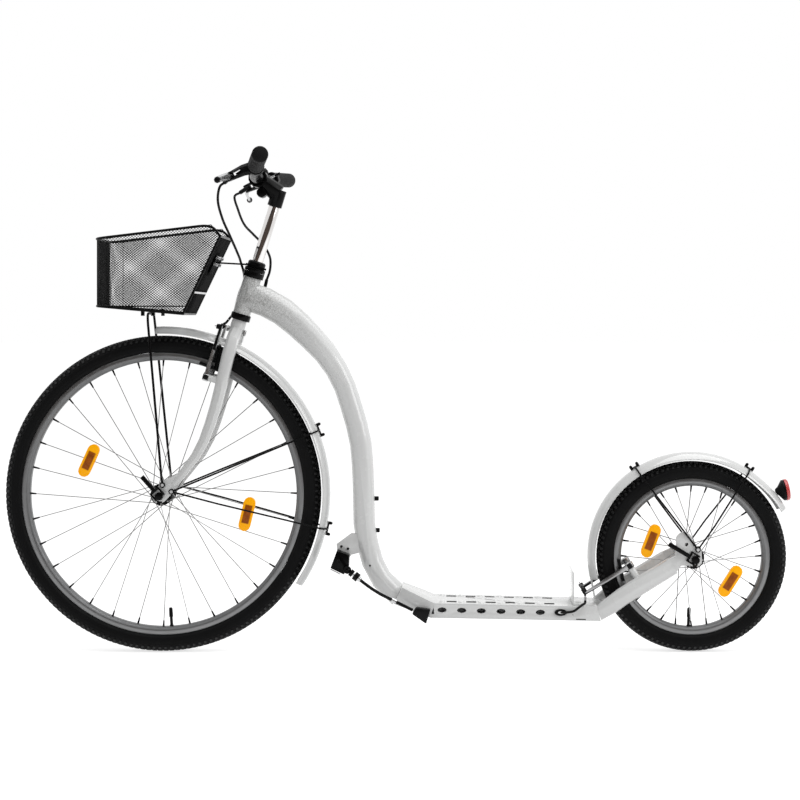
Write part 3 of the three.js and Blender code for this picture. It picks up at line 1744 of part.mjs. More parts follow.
function standHeadSolid() {
  const top = standBracket.y - standBracket.thick - seat;
  const near = top - 2 * standHead.half;
  const body = plate(placed(standHead.outline, standDatum), near, top);
  const hollow = plate(placed(standHead.inside, standDatum), near + standHead.wall, top + overrun);
  const pinFrom = -standPin.half - standPin.near;
  const pin = cylinder(standPin.radius, pinFrom, standPin.half + standPin.far, 10, standPivot, standAxis);
  return join(cut(body, hollow), pin);
}
piece("kickstand_head", standHeadSolid(), "black", frameGroup);

function standLegSolid() {
  const line = standLeg.route.map(([x, y, z]) => new THREE.Vector3(standDatum + x, y, z));
  const leg = sweep(line, 8, 6, () => [standLeg.radius, standLeg.radius], up);
  const head = cylinder(standPin.eye, -standPin.half, standPin.half, 12, standPivot, standAxis);
  const reach = standPin.half + overrun;
  const hole = cylinder(standPin.radius + seat, -reach, reach, 10, standPivot, standAxis);
  const [towardsHead, towardsFoot] = standLeg.knobShares;
  const knobLine = [line[1].clone().lerp(line[0], towardsHead), line[1].clone().lerp(line[2], towardsFoot)];
  const knob = sweep(knobLine, 1, 10, () => [standLeg.knob, standLeg.knob]);
  const foot = plate(placed(standLeg.foot, standDatum), standLeg.footFrom, standLeg.footTo);
  return cut(join(leg, head, knob, foot), hole);
}
piece("kickstand_leg", standLegSolid(), "black", frameGroup);

// Brakes
const arm = {
  eye: 8.5,
  root: 6,
  rootOut: 0.5,
  knee: 45,
  kneeOut: 3,
  halfWidth: [6, 4.5],
  halfDepth: [5, 3.5],
  squareness: 0.6,
  padPost: 3.2,
  padPostOut: 3,
  padSquareness: 0.5,
  bolt: 5,
  boltDown: 4,
  boltPast: 3.6,
};
const noodle = {
  above: 5,
  radius: 2.6,
  straight: 7,
  bendOut: 4,
  bendIn: -12,
  boot: 3.8,
  bootFrom: -10,
  bootTo: 4,
  bare: 0.9,
  bareFrom: 6,
  barePast: 14,
};

// Arm, pad and post of one brake arm: origin on the boss, arm direction, boss axis and side.
function brakeArm(origin, armUp, axisOut, side, base) {
  const at = (along, y, outwards) =>
    origin
      .clone()
      .addScaledVector(armUp, along)
      .addScaledVector(axisOut, outwards)
      .setY(origin.y + side * y);
  const middle = boss.armThick / 2 + seat;
  const eye = collar(arm.eye, boss.armBore, seat, boss.armThick + seat, 10, origin, axisOut);
  const line = [
    at(arm.root, arm.rootOut, middle),
    at(arm.knee, arm.kneeOut, middle),
    at(brake.armLength, 0, middle),
  ];
  const size = (t) => [THREE.MathUtils.lerp(...arm.halfWidth, t), THREE.MathUtils.lerp(...arm.halfDepth, t)];
  const armBar = sweep(line, 2, 6, size, left, arm.squareness);
  const padCentreY = rim.width / 2 + brake.padGap + brake.padThick / 2 - brake.bossHalf;
  const padMiddle = at(brake.padRise, padCentreY, middle);
  const post = rod([at(brake.padRise, arm.padPostOut, middle), padMiddle], arm.padPost, 6);
  const centre = base.centre.clone().setY(0);
  const radial = origin.clone().setY(0).addScaledVector(armUp, brake.padRise).sub(centre).normalize();
  const tangent = radial.clone().cross(left).normalize();
  const onRim = centre
    .clone()
    .setY(padMiddle.y)
    .addScaledVector(padMiddle.clone().setY(0).sub(centre).normalize(), base.rimRadius);
  const padHalf = brake.padLength / 2;
  const padLine = [
    onRim.clone().addScaledVector(tangent, -padHalf),
    onRim,
    onRim.clone().addScaledVector(tangent, padHalf),
  ];
  const padSize = () => [brake.padThick / 2, brake.padHeight / 2];
  const pad = sweep(padLine, 2, 6, padSize, left, arm.padSquareness);
  const boltAt = brake.armLength - arm.boltDown;
  const bolt = rod([at(boltAt, 0, middle), at(boltAt, 0, boss.armThick + base.boltReach)], arm.bolt, 6);
  const hole = cylinder(boss.armBore, -overrun, boss.armThick + 2 * overrun, 8, origin, axisOut);
  return cut(join(eye, armBar, post, pad, bolt), hole);
}

// The curved cable guide, rubber boot and bare wire that link the two arms at their tops.
function noodleSolid(origin, armUp, axisOut, side, mouth, mouthLine) {
  const out = boss.armThick + noodle.above;
  const top = brake.armLength - arm.boltDown;
  const half = brake.bossHalf;
  const at = (y) =>
    origin.clone().addScaledVector(armUp, top).addScaledVector(axisOut, out).setY(side * y);
  const line = [
    mouth.clone(),
    mouth.clone().addScaledVector(mouthLine, -noodle.straight),
    at(half + noodle.bendOut),
    at(half + noodle.bendIn),
  ];
  const bend = sweep(line, 5, 6, () => [noodle.radius, noodle.radius], armUp);
  const boot = rod([at(half + noodle.bootFrom), at(noodle.bootTo)], noodle.boot, 6);
  const bare = rod([at(noodle.bareFrom), at(-half - noodle.barePast)], noodle.bare, 4);
  return join(bend, boot, bare);
}

// Where the cables' ends meet the curved guides, and the way they point there
const mouthPlan = { behind: -27, side: 45, aboveAxle: 372.5, rearX: 374.5, rearY: -51, rearZ: 110.5 };
const frontMouth = steer(mouthPlan.behind, mouthPlan.side, mouthPlan.aboveAxle - forkLength);
const frontMouthLine = new THREE.Vector3(0.62, -0.05, 0.78).normalize();
const rearMouth = new THREE.Vector3(frameDatum + mouthPlan.rearX, mouthPlan.rearY, mouthPlan.rearZ);
const rearMouthLine = new THREE.Vector3(-0.1, -0.3, -0.95).normalize();

for (const [name, side] of [["left", -1], ["right", 1]]) {
  const frontOrigin = steer(frontPivot.behind, side * brake.bossHalf, frontPivot.along);
  const rearOrigin = onStay(rearPivot.along, rearPivot.above, side * brake.bossHalf);
  const ahead = back.clone().negate();
  const down = stayDirection.clone().negate();
  const frontBase = {
    centre: frontAxle,
    rimRadius: frontWheel.bead - brake.padDrop,
    boltReach: side > 0 ? noodle.above : arm.boltPast,
  };
  const rearBase = {
    centre: rearAxle,
    rimRadius: rearWheel.bead - brake.padDrop,
    boltReach: side < 0 ? noodle.above : arm.boltPast,
  };
  let frontArm = brakeArm(frontOrigin, up, ahead, side, frontBase);
  let rearArm = brakeArm(rearOrigin, down, stayUp, side, rearBase);
  if (side > 0) {
    const root = frontOrigin.clone().setY(0);
    frontArm = join(frontArm, noodleSolid(root, up, ahead, side, frontMouth, frontMouthLine));
  } else {
    const root = rearOrigin.clone().setY(0);
    rearArm = join(rearArm, noodleSolid(root, down, stayUp, side, rearMouth, rearMouthLine));
  }
  piece("front_brake_arm_" + name, frontArm, "steel", steeringGroup);
  piece("rear_brake_arm_" + name, rearArm, "steel", frameGroup);
}

// Basket: flat mesh panels welded on a wire frame
const basket = {
  frontTop: [-597, 830.5],
  backTop: [-367.5, 858],
  backBend: [-350, 836],
  backLow: [-423.4, 682],
  frontLow: [-596.6, 697.5],
  half: 86,
  corner: 24,
  wire: 2.6,
  sheet: 1.6,
  border: 4,
  strand: 1.6,
};

// A flat panel with rows of diamond openings. Its corners are places on the panel, given along it and up it.
function meshPanel(corners3, columns, rows) {
  const origin = corners3[0];
  const along = corners3[1].clone().sub(origin).normalize();
  const normal = along.clone().cross(corners3[corners3.length - 1].clone().sub(origin)).normalize();
  const upward = normal.clone().cross(along);
  const corners = corners3.map((q) => {
    const d = q.clone().sub(origin);
    return [d.dot(along), d.dot(upward)];
  });
  const shape = new THREE.Shape(corners.map(([u, v]) => new THREE.Vector2(u, v)));
  const inside = (u, v) =>
    corners.every((a, k) => {
      const b = corners[(k + 1) % corners.length];
      const length = Math.hypot(b[0] - a[0], b[1] - a[1]);
      return ((b[0] - a[0]) * (v - a[1]) - (b[1] - a[1]) * (u - a[0])) / length >= basket.border;
    });
  const us = corners.map((c) => c[0]);
  const vs = corners.map((c) => c[1]);
  const lowU = Math.min(...us);
  const lowV = Math.min(...vs);
  const stepU = (Math.max(...us) - lowU) / columns;
  const stepV = (Math.max(...vs) - lowV) / rows;
  const halfU = stepU / 2 - basket.strand;
  const halfV = stepV / 2 - basket.strand;
  for (let row = 1; row < 2 * rows; row++) {
    for (let column = 0; column < columns; column++) {
      const u = lowU + (column + (row % 2 ? 0.5 : 1)) * stepU;
      const v = lowV + (row * stepV) / 2;
      const hole = [[u - halfU, v], [u, v - halfV], [u + halfU, v], [u, v + halfV]];
      if (hole.every(([a, b]) => inside(a, b))) {
        shape.holes.push(new THREE.Path(hole.map(([a, b]) => new THREE.Vector2(a, b))));
      }
    }
  }
  const geometry = new THREE.ExtrudeGeometry(shape, { depth: basket.sheet, bevelEnabled: false });
  const centre = origin.clone().addScaledVector(normal, -basket.sheet / 2);
  geometry.applyMatrix4(new THREE.Matrix4().makeBasis(along, upward, normal).setPosition(centre));
  return solid(geometry);
}

function basketSolid() {
  const at = ([x, z], y) => new THREE.Vector3(columnDatum.x + x, y, columnDatum.z + z);
  const { frontLow, frontTop, backLow, backTop, backBend, half, corner } = basket;
  const slope = (frontLow[1] - backLow[1]) / (backLow[0] - frontLow[0]);
  const rise = (backTop[1] - frontTop[1]) / (backTop[0] - frontTop[0]);
  const sideLow = [frontLow[0] + corner, frontLow[1] - corner * slope];
  const sideTop = [frontTop[0] + corner, frontTop[1] + corner * rise];
  const inner = half - corner;
  const floor = [
    at(sideLow, -half),
    at(backLow, -half),
    at(backLow, half),
    at(sideLow, half),
    at(frontLow, inner),
    at(frontLow, -inner),
  ];
  const panels = [
    meshPanel([at(frontLow, inner), at(frontLow, -inner), at(frontTop, -inner), at(frontTop, inner)], 4, 4),
    meshPanel([at(backLow, -half), at(backLow, half), at(backBend, half), at(backBend, -half)], 4, 5),
    meshPanel(floor, 4, 5),
  ];
  const wires = [];
  for (const side of [-1, 1]) {
    const wall = [
      at(sideLow, side * half),
      at(backLow, side * half),
      at(backBend, side * half),
      at(backTop, side * half),
      at(sideTop, side * half),
    ];
    const facet = [
      at(frontLow, side * inner),
      at(sideLow, side * half),
      at(sideTop, side * half),
      at(frontTop, side * inner),
    ];
    const turnedOver = (corners) => [corners[1], corners[0], ...corners.slice(2).reverse()];
    const facingOut = (corners) => (side < 0 ? corners : turnedOver(corners));
    panels.push(meshPanel(facingOut(wall), 6, 5), meshPanel(facingOut(facet), 1, 4));
    wires.push([wall[0], wall[1]], [wall[1], wall[2]], [wall[2], wall[3]], [wall[3], wall[4]]);
    wires.push([facet[0], facet[1]], [facet[2], facet[3]]);
  }
  wires.push([at(frontLow, -inner), at(frontLow, inner)], [at(frontTop, -inner), at(frontTop, inner)]);
  wires.push([at(backLow, -half), at(backLow, half)], [at(backBend, -half), at(backBend, half)]);
  const rods = wires.map(([a, b]) => {
    const reach = b.clone().sub(a).normalize().multiplyScalar(basket.wire / 2);
    return rod([a.clone().sub(reach), b.clone().add(reach)], basket.wire, 4);
  });
  return join(...panels, ...rods);
}
piece("basket", basketSolid(), "black", steeringGroup);

// The U-shaped strut from the fork eyelets to the underside of the basket
const strutTop = [
  [-500, -42, 665],
  [-501, -38, 680],
  [-501.2, -30, 682.8],
];
const strutFoot = { ahead: 2, rise: 15 };

function strutSolid() {
  const face = hubWidth / 2 + dropout.thick + 2 * seat;
  const out = face + wire.strutRadius;
  const eye = new THREE.Vector3(frontAxle.x + eyelet.strut[0], 0, frontAxle.z + eyelet.strut[1]);
  const half = [
    new THREE.Vector3(eye.x, -out, eye.z),
    new THREE.Vector3(eye.x - strutFoot.ahead, -out, eye.z + strutFoot.rise),
    ...strutTop.map(([x, y, z]) => new THREE.Vector3(columnDatum.x + x, y, columnDatum.z + z)),
  ];
  const mirrored = half.map((q) => new THREE.Vector3(q.x, -q.y, q.z)).reverse();
  const rodBody = bentWire([...half, ...mirrored], wire.strutRadius, wire.facets);
  return join(rodBody, ...eyeletScrews(face, eye, 10));
}
piece("basket_strut", strutSolid(), "blackWire", steeringGroup);

// The plate on the basket's back with its rod to the band round the headset nut
const backPlate = { from: 92, to: 132, standOff: 3, half: 38, thick: 2.2 };
const plateBand = { above: 9, height: 4, wall: 1.5 };
const plateRod = { share: 0.6, y: -26, standOff: 1, radius: 1.8, behind: -14, side: -14.5, rise: 2 };

function basketBracketSolid() {
  const place = ([x, z]) => new THREE.Vector3(columnDatum.x + x, 0, columnDatum.z + z);
  const low = place(basket.backLow);
  const along = place(basket.backBend).sub(low).normalize();
  const out = left.clone().cross(along);
  const at = (distance) =>
    low.clone().addScaledVector(along, distance).addScaledVector(out, backPlate.standOff);
  const strip = sweep([at(backPlate.from), at(backPlate.to)], 1, 4, () => [backPlate.half, backPlate.thick]);
  const bandLow = nutLow + plateBand.above;
  const bandHigh = bandLow + plateBand.height;
  const band = collar(headset.radius + plateBand.wall, nutNeck + seat, bandLow, bandHigh, 20, crown, up);
  const rodStart = at(backPlate.from)
    .lerp(at(backPlate.to), plateRod.share)
    .setY(plateRod.y)
    .addScaledVector(out, plateRod.standOff);
  const rodEnd = steer(plateRod.behind, plateRod.side, bandLow + plateRod.rise);
  return join(strip, band, rod([rodStart, rodEnd], plateRod.radius, 8));
}
piece("basket_bracket", basketBracketSolid(), "steel", steeringGroup);

// Brake cables. Their routes are lists of places chosen by hand, from the column's or frame's datum.
function cable(points, steps, radius) {
  const curve = new THREE.CatmullRomCurve3(points, false, "centripetal");
  const section = new THREE.Shape(
    Array.from({ length: 8 }, (_, k) => {
      const angle = (k * Math.PI) / 4;
      return new THREE.Vector2(radius * Math.cos(angle), radius * Math.sin(angle));
    }),
  );
  return solid(new THREE.ExtrudeGeometry(section, { steps, bevelEnabled: false, extrudePath: curve }));
}

const cableEnd = { gap: 0.6, frontLine: 8, rearLine: 5, frontLead: 12, rearLead: 14 };

// A place on a cable that leaves a lever's adjuster.
function fromAdjuster(side, distance) {
  const start = bracket.adjusterLength + seat + distance;
  return leverPivot(side)
    .addScaledVector(left, -side * bracket.eye)
    .addScaledVector(adjusterDirection(side), start);
}

const onColumn = ([x, y, z]) => new THREE.Vector3(columnDatum.x + x, y, columnDatum.z + z);
const besideDeck = ([x, y, z]) => new THREE.Vector3(frameDatum + x, y, z);
const intoFrontMouth = (distance) => frontMouth.clone().addScaledVector(frontMouthLine, distance);
const intoRearMouth = (distance) => rearMouth.clone().addScaledVector(rearMouthLine, distance);

const frontAir = [
  [-349, -128, 905],
  [-343, -108, 870],
  [-332, -78, 838],
  [-322, -38, 806],
  [-319, -2, 788],
];
const frontBesideHead = [
  [-18, 18, 78],
  [-19, 20, 46],
  [-19, 26, 22],
  [-19, 36, 2],
];
const frontRoute = [
  fromAdjuster(-1, 0),
  fromAdjuster(-1, cableEnd.frontLead),
  ...frontAir.map(onColumn),
  ...frontBesideHead.map((place) => steer(...place)),
  intoFrontMouth(cableEnd.frontLine),
  intoFrontMouth(cableEnd.gap),
];
piece("front_brake_cable", cable(frontRoute, 32, wire.cableRadius), "rubber", steeringGroup);

const upperAir = [
  [-338, 118, 900],
  [-322, 90, 868],
  [-300, 60, 846],
  [-276, 38, 822],
  [-262, 26, 796],
  [-262, 20, 770],
  [-268, 16, 751],
];
const upperRoute = [fromAdjuster(1, 0), fromAdjuster(1, cableEnd.rearLead), ...upperAir.map(onColumn)];
piece("rear_brake_cable_upper", cable(upperRoute, 24, wire.cableRadius), "rubber", steeringGroup);

const lowerAir = [
  [298, -33, 87],
  [311, -46, 87.2],
  [323, -57.5, 87.5],
  [335, -65, 88.5],
  [350, -67.5, 91.5],
  [361, -66.5, 99],
  [368.5, -61.5, 103.4],
];
const lowerRoute = [
  ...lowerAir.map(besideDeck),
  intoRearMouth(cableEnd.rearLine),
  intoRearMouth(cableEnd.gap),
];
piece("rear_brake_cable_lower", cable(lowerRoute, 16, wire.cableRadius), "rubber", frameGroup);

export default bike;
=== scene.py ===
import json
import math

import bmesh
import bpy
from mathutils import Matrix, Vector
from mathutils.bvhtree import BVHTree

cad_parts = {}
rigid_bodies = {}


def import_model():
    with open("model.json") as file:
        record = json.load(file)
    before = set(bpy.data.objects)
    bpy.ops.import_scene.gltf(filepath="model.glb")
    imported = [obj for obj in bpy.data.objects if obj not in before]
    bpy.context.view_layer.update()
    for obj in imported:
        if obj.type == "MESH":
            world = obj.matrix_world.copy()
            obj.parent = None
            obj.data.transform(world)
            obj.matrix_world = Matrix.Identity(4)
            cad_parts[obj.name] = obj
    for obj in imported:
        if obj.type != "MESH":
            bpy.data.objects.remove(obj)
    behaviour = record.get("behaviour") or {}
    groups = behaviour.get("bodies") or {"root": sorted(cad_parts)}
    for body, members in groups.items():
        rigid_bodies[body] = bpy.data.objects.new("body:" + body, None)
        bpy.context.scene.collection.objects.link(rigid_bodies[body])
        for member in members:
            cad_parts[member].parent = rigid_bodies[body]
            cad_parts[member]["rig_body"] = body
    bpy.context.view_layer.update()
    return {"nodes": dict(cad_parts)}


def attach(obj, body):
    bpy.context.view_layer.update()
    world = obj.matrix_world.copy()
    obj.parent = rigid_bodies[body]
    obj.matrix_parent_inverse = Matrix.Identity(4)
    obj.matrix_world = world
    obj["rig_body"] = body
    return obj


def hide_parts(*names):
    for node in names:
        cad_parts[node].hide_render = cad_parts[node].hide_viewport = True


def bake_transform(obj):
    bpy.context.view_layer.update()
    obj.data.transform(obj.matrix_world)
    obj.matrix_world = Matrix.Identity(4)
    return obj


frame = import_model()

nodes = frame["nodes"]

# Main places and sizes, in metres: +X to the rear wheel, -Y the rider's left, +Z up
FRONT_AXLE = Vector((-0.47475, 0, 0.319))
REAR_AXLE = Vector((0.59325, 0, 0.192))
FRONT_TYRE, REAR_TYRE = 0.319, 0.192  # the tyres' outer radii
FRONT_BEAD, REAR_BEAD = 0.2795, 0.1525  # the radii of the rims' seats for them
SIDEWAYS = Vector((0, 1, 0))
UP = Vector((0, 0, 1))
HEAD_TILT = math.radians(17)
STEER_UP = Vector((math.sin(HEAD_TILT), 0, math.cos(HEAD_TILT)))
STEER_BACK = Vector((math.cos(HEAD_TILT), 0, -math.sin(HEAD_TILT)))
CROWN = FRONT_AXLE + STEER_BACK * 0.0445 + STEER_UP * 0.3855


def steer(behind, y, along):
    """A place by its mm behind the steering axis, to the right of it, and up it from the crown."""
    return CROWN + (STEER_BACK * behind + SIDEWAYS * y + STEER_UP * along) / 1000


def mm(*places):
    """The places, given in mm, as vectors in metres."""
    return [Vector(place) / 1000 for place in places]


def placed(name, data):
    """A new object of the scene."""
    made = bpy.data.objects.new(name, data)
    bpy.context.scene.collection.objects.link(made)
    return made


# Camera, as it stood for the photograph

lens = bpy.data.cameras.new("camera")
lens.lens = 76.8
lens.shift_x = -0.04625
lens.shift_y = -0.10375
camera = placed("camera", lens)
camera.location = (0.0786, -3.457, 0.6757)
camera.rotation_euler = (math.radians(90), 0, 0)
bpy.context.scene.camera = camera
bpy.context.scene.view_settings.view_transform = "Standard"


# Finishes

class Graph:
    """A material's node graph, with its patterns on Object coordinates."""

    def __init__(self, name):
        self.material = bpy.data.materials.new(name)
        self.material.use_nodes = True
        self.tree = self.material.node_tree
        self.shader = self.tree.nodes["Principled BSDF"]
        self.place = self.node("ShaderNodeTexCoord").outputs["Object"]

    def node(self, kind, **values):
        made = self.tree.nodes.new(kind)
        for key, value in values.items():
            if hasattr(made, key):
                setattr(made, key, value)
            else:
                made.inputs[key.replace("_", " ").title()].default_value = value
        return made

    def link(self, start, end):
        self.tree.links.new(start, end)
        return end

    def noise(self, scale, detail=3.0):
        made = self.node("ShaderNodeTexNoise", scale=scale, detail=detail)
        self.link(self.place, made.inputs["Vector"])
        return made.outputs["Fac"]

    def spread(self, source, low, high, from_low=0.35, from_high=0.65):
        made = self.node("ShaderNodeMapRange")
        ends = {"From Min": from_low, "From Max": from_high, "To Min": low, "To Max": high}
        for name, value in ends.items():
            made.inputs[name].default_value = value
        self.link(source, made.inputs["Value"])
        return made.outputs["Result"]

    def blend(self, share, first, second):
        made = self.node("ShaderNodeMix", data_type="RGBA")
        self.link(share, made.inputs["Factor"])
        for socket, colour in (("A", first), ("B", second)):
            slot = [s for s in made.inputs if s.name == socket and s.type == "RGBA"][0]
            if isinstance(colour, (tuple, list)):
                slot.default_value = (*colour, 1)
            else:
                self.link(colour, slot)
        return [s for s in made.outputs if s.type == "RGBA"][0]

    def product(self, first, second):
        made = self.node("ShaderNodeMath", operation="MULTIPLY")
        self.link(first, made.inputs[0])
        self.link(second, made.inputs[1])
        return made.outputs[0]

    def bump(self, height, strength, depth):
        made = self.node("ShaderNodeBump", strength=strength, distance=depth)
        self.link(height, made.inputs["Height"])
        self.link(made.outputs["Normal"], self.shader.inputs["Normal"])

    def look(self, **values):
        """Links or sets the shader's inputs."""
        for key, value in values.items():
            slot = self.shader.inputs[key.replace("_", " ")]
            if isinstance(value, bpy.types.NodeSocket):
                self.link(value, slot)
            else:
                slot.default_value = value


PATCH = 9.0  # how often a finish's colour varies over a metre
GRAIN_DEPTH = 0.0004
COAT_ROUGHNESS = 0.06


def finish(name, colour, rough, metallic=0.0, coat=0.0, mottle=0.06, grain=300.0, relief=0.1,
           rough_spread=0.05, shine=0.5):
    """A finish with a little colour variation, uneven gloss and a fine surface grain."""
    graph = Graph(name)
    darker = tuple(c * (1 - mottle) for c in colour)
    lighter = tuple(min(1, c * (1 + mottle)) for c in colour)
    graph.look(
        Base_Color=graph.blend(graph.spread(graph.noise(PATCH), 0, 1), darker, lighter),
        Roughness=graph.spread(graph.noise(PATCH * 7), rough - rough_spread, rough + rough_spread),
        Metallic=metallic, Specular_IOR_Level=shine,
        Coat_Weight=coat, Coat_Roughness=COAT_ROUGHNESS,
    )
    graph.bump(graph.noise(grain), relief, GRAIN_DEPTH)
    return graph.material


WHITE = (0.78, 0.785, 0.78)
BLACK = (0.002, 0.002, 0.0022)

white_paint = finish("white_paint", WHITE, 0.25, coat=0.7, mottle=0.015, relief=0.02, grain=160)
fender_paint = finish(
    "fender_paint", (0.72, 0.725, 0.72), 0.16, coat=1.0, mottle=0.02, relief=0.01, grain=120,
)
tyre_rubber = finish(
    "tyre_rubber", (0.0025, 0.0026, 0.0028), 0.6, mottle=0.25, relief=0.25, grain=500, shine=0.12,
)
tread_rubber = finish(
    "tread_rubber", (0.004, 0.0042, 0.0046), 0.7, mottle=0.3, relief=0.3, grain=420, shine=0.5,
)
soft_rubber = finish(
    "soft_rubber", (0.0025, 0.0025, 0.0028), 0.45, mottle=0.2, relief=0.12, grain=400, shine=0.16,
)
grip_rubber = finish(
    "grip_rubber", (0.0035, 0.0035, 0.0038), 0.66, mottle=0.2, relief=0.5, grain=700, shine=0.18,
)
black_plastic = finish("black_plastic", BLACK, 0.38, mottle=0.2, relief=0.12, grain=420, shine=0.1)
black_enamel = finish("black_enamel", BLACK, 0.3, mottle=0.2, relief=0.05, shine=0.1)
matt_black = finish("matt_black", BLACK, 0.75, mottle=0.2, shine=0.03)
# A greyer white for the inside of the hollow deck: painted shade, for the inside is white paint
# lying in shadow.
deck_inside_painted_shade = finish("deck_inside_painted_shade", (0.62, 0.625, 0.63), 0.6, mottle=0.15, shine=0.2)
rim_alloy = finish(
    "rim_alloy", (0.17, 0.172, 0.175), 0.4, metallic=0.75, mottle=0.05, relief=0.08, grain=260,
)
track_alloy = finish(
    "track_alloy", (0.23, 0.232, 0.235), 0.34, metallic=0.8, mottle=0.05, grain=240,
)
brake_alloy = finish("brake_alloy", (0.38, 0.38, 0.385), 0.3, metallic=0.95, mottle=0.1)
spoke_steel = finish("spoke_steel", (0.33, 0.33, 0.33), 0.3, metallic=0.9, mottle=0.08)
bright_steel = finish(
    "bright_steel", (0.55, 0.555, 0.56), 0.28, metallic=0.95, mottle=0.08, relief=0.08,
)
chrome = finish(
    "chrome", (0.72, 0.7, 0.69), 0.07, metallic=1.0, mottle=0.03, relief=0.01, rough_spread=0.02,
)


def faded_paint():
    """The white paint with a grey speckle that fades out along the tube from the head."""
    graph = Graph("faded_white_paint")
    parts = graph.node("ShaderNodeSeparateXYZ")
    graph.link(graph.place, parts.inputs["Vector"])
    fade = graph.spread(parts.outputs["X"], 0.75, 0, -0.29, -0.14)
    speckle = graph.spread(graph.noise(620, 5), 0, 1, 0.4, 0.6)
    graph.look(
        Base_Color=graph.blend(graph.product(fade, speckle), WHITE, (0.2, 0.205, 0.19)),
        Roughness=graph.spread(graph.noise(63), 0.2, 0.3),
        Coat_Weight=0.7, Coat_Roughness=COAT_ROUGHNESS,
    )
    graph.bump(graph.noise(160), 0.02, GRAIN_DEPTH)
    return graph.material


def amber_finish(name, centre, turn):
    """Amber reflector plastic, darker where its prisms lie mid-face, with a painted glow of its own
    colour.
    """
    graph = Graph(name)
    mapping = graph.node("ShaderNodeMapping", vector_type="TEXTURE")
    mapping.inputs["Location"].default_value = centre
    mapping.inputs["Rotation"].default_value = (0, turn, 0)
    graph.link(graph.place, mapping.inputs["Vector"])
    parts = graph.node("ShaderNodeSeparateXYZ")
    graph.link(mapping.outputs["Vector"], parts.inputs["Vector"])
    masks = []
    for axis, half in (("X", 0.019), ("Z", 0.0075)):
        size = graph.node("ShaderNodeMath", operation="ABSOLUTE")
        graph.link(parts.outputs[axis], size.inputs[0])
        masks.append(graph.spread(size.outputs[0], 1, 0, half - 0.0012, half + 0.0012))
    prisms = graph.node("ShaderNodeTexVoronoi", scale=420.0)
    graph.link(mapping.outputs["Vector"], prisms.inputs["Vector"])
    dark = graph.blend(graph.noise(110), (0.10, 0.018, 0.001), (0.42, 0.10, 0.002))
    light = graph.blend(graph.noise(60), (0.98, 0.38, 0.0), (1.0, 0.46, 0.0))
    colour = graph.blend(graph.product(*masks), light, dark)
    # The emission is painted light: a glow in the amber colour that stands in for the light the
    # reflector sends back.
    graph.look(
        Base_Color=colour, Emission_Color=colour, Emission_Strength=0.3, Roughness=0.25,
        Specular_IOR_Level=0.2,
    )
    graph.bump(prisms.outputs["Distance"], 0.35, 0.0006)
    return graph.material


def ribbed_red():
    """Red plastic with ribs pressed in it, its red darker and lighter in bands with the ribs as
    painted shade and highlight.
    """
    graph = Graph("red_lens_plastic")
    wave = graph.node("ShaderNodeTexWave", scale=130.0, wave_type="BANDS", bands_direction="Z")
    graph.link(graph.place, wave.inputs["Vector"])
    # Painted shade and highlight: the red runs from dark to light with the ribs' wave.
    shade = graph.blend(wave.outputs["Fac"], (0.42, 0.012, 0.014), (0.78, 0.05, 0.045))
    graph.look(Base_Color=shade, Roughness=0.18, Coat_Weight=0.7)
    graph.bump(wave.outputs["Fac"], 0.4, 0.0008)
    return graph.material


red_lens = ribbed_red()


# Making pieces

def piece(name, shape, body, *finishes, stands_for=(), sharp=38):
    """The bmesh as a piece with its finishes, riding on a body and standing for CAD nodes."""
    mesh = bpy.data.meshes.new(name)
    shape.to_mesh(mesh)
    shape.free()
    for material in finishes:
        mesh.materials.append(material)
    mesh.shade_smooth()
    mesh.set_sharp_from_angle(angle=math.radians(sharp))
    made = placed(name, mesh)
    if body:
        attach(made, body)
    if stands_for:
        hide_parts(*stands_for)
    return made


def cad_copy(node):
    """The mesh of a CAD node as a bmesh, with its vertices merged."""
    shape = bmesh.new()
    shape.from_mesh(nodes[node].data)
    bmesh.ops.remove_doubles(shape, verts=shape.verts, dist=1e-5)
    return shape


def round_edges(shape, reach, degrees, segments):
    """Rounds the edges that turn by more than so many degrees."""
    sharpest = math.radians(degrees)
    edges = [e for e in shape.edges if len(e.link_faces) == 2 and e.calc_face_angle() > sharpest]
    bmesh.ops.bevel(
        shape, geom=edges, offset=reach, offset_type="OFFSET", segments=segments, profile=0.5,
        affect="EDGES", clamp_overlap=True, material=-1,
    )


def cut_off(shape, point, outward):
    """Cuts away what lies beyond a plane and closes the cut."""
    bmesh.ops.bisect_plane(
        shape, geom=shape.verts[:] + shape.edges[:] + shape.faces[:], dist=1e-7, plane_co=point,
        plane_no=outward, clear_outer=True,
    )
    bmesh.ops.holes_fill(shape, edges=[e for e in shape.edges if e.is_boundary], sides=0)


def share_out(shape, choose):
    """Gives the second finish to the faces for which choose(centre, normal) holds."""
    for face in shape.faces:
        face.material_index = int(choose(face.calc_center_median(), face.normal))


def refined(node, *finishes, edge=0.0005, segments=2, choose=None):
    """A CAD node with its sharp edges rounded, its finishes shared out by choose."""
    shape = cad_copy(node)
    bmesh.ops.dissolve_limit(
        shape, angle_limit=math.radians(1), use_dissolve_boundaries=False, verts=shape.verts,
        edges=shape.edges,
    )
    round_edges(shape, edge, 38, segments)
    share_out(shape, choose or (lambda centre, normal: False))
    piece(node + "_finished", shape, nodes[node]["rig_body"], *finishes, stands_for=[node])


def settle(shape, before, finish_number=0):
    """Turns the faces that are new since before outward and gives them their finish."""
    made = [face for face in shape.faces if face not in before]
    for face in made:
        face.material_index = finish_number
    bmesh.ops.recalc_face_normals(shape, faces=made)


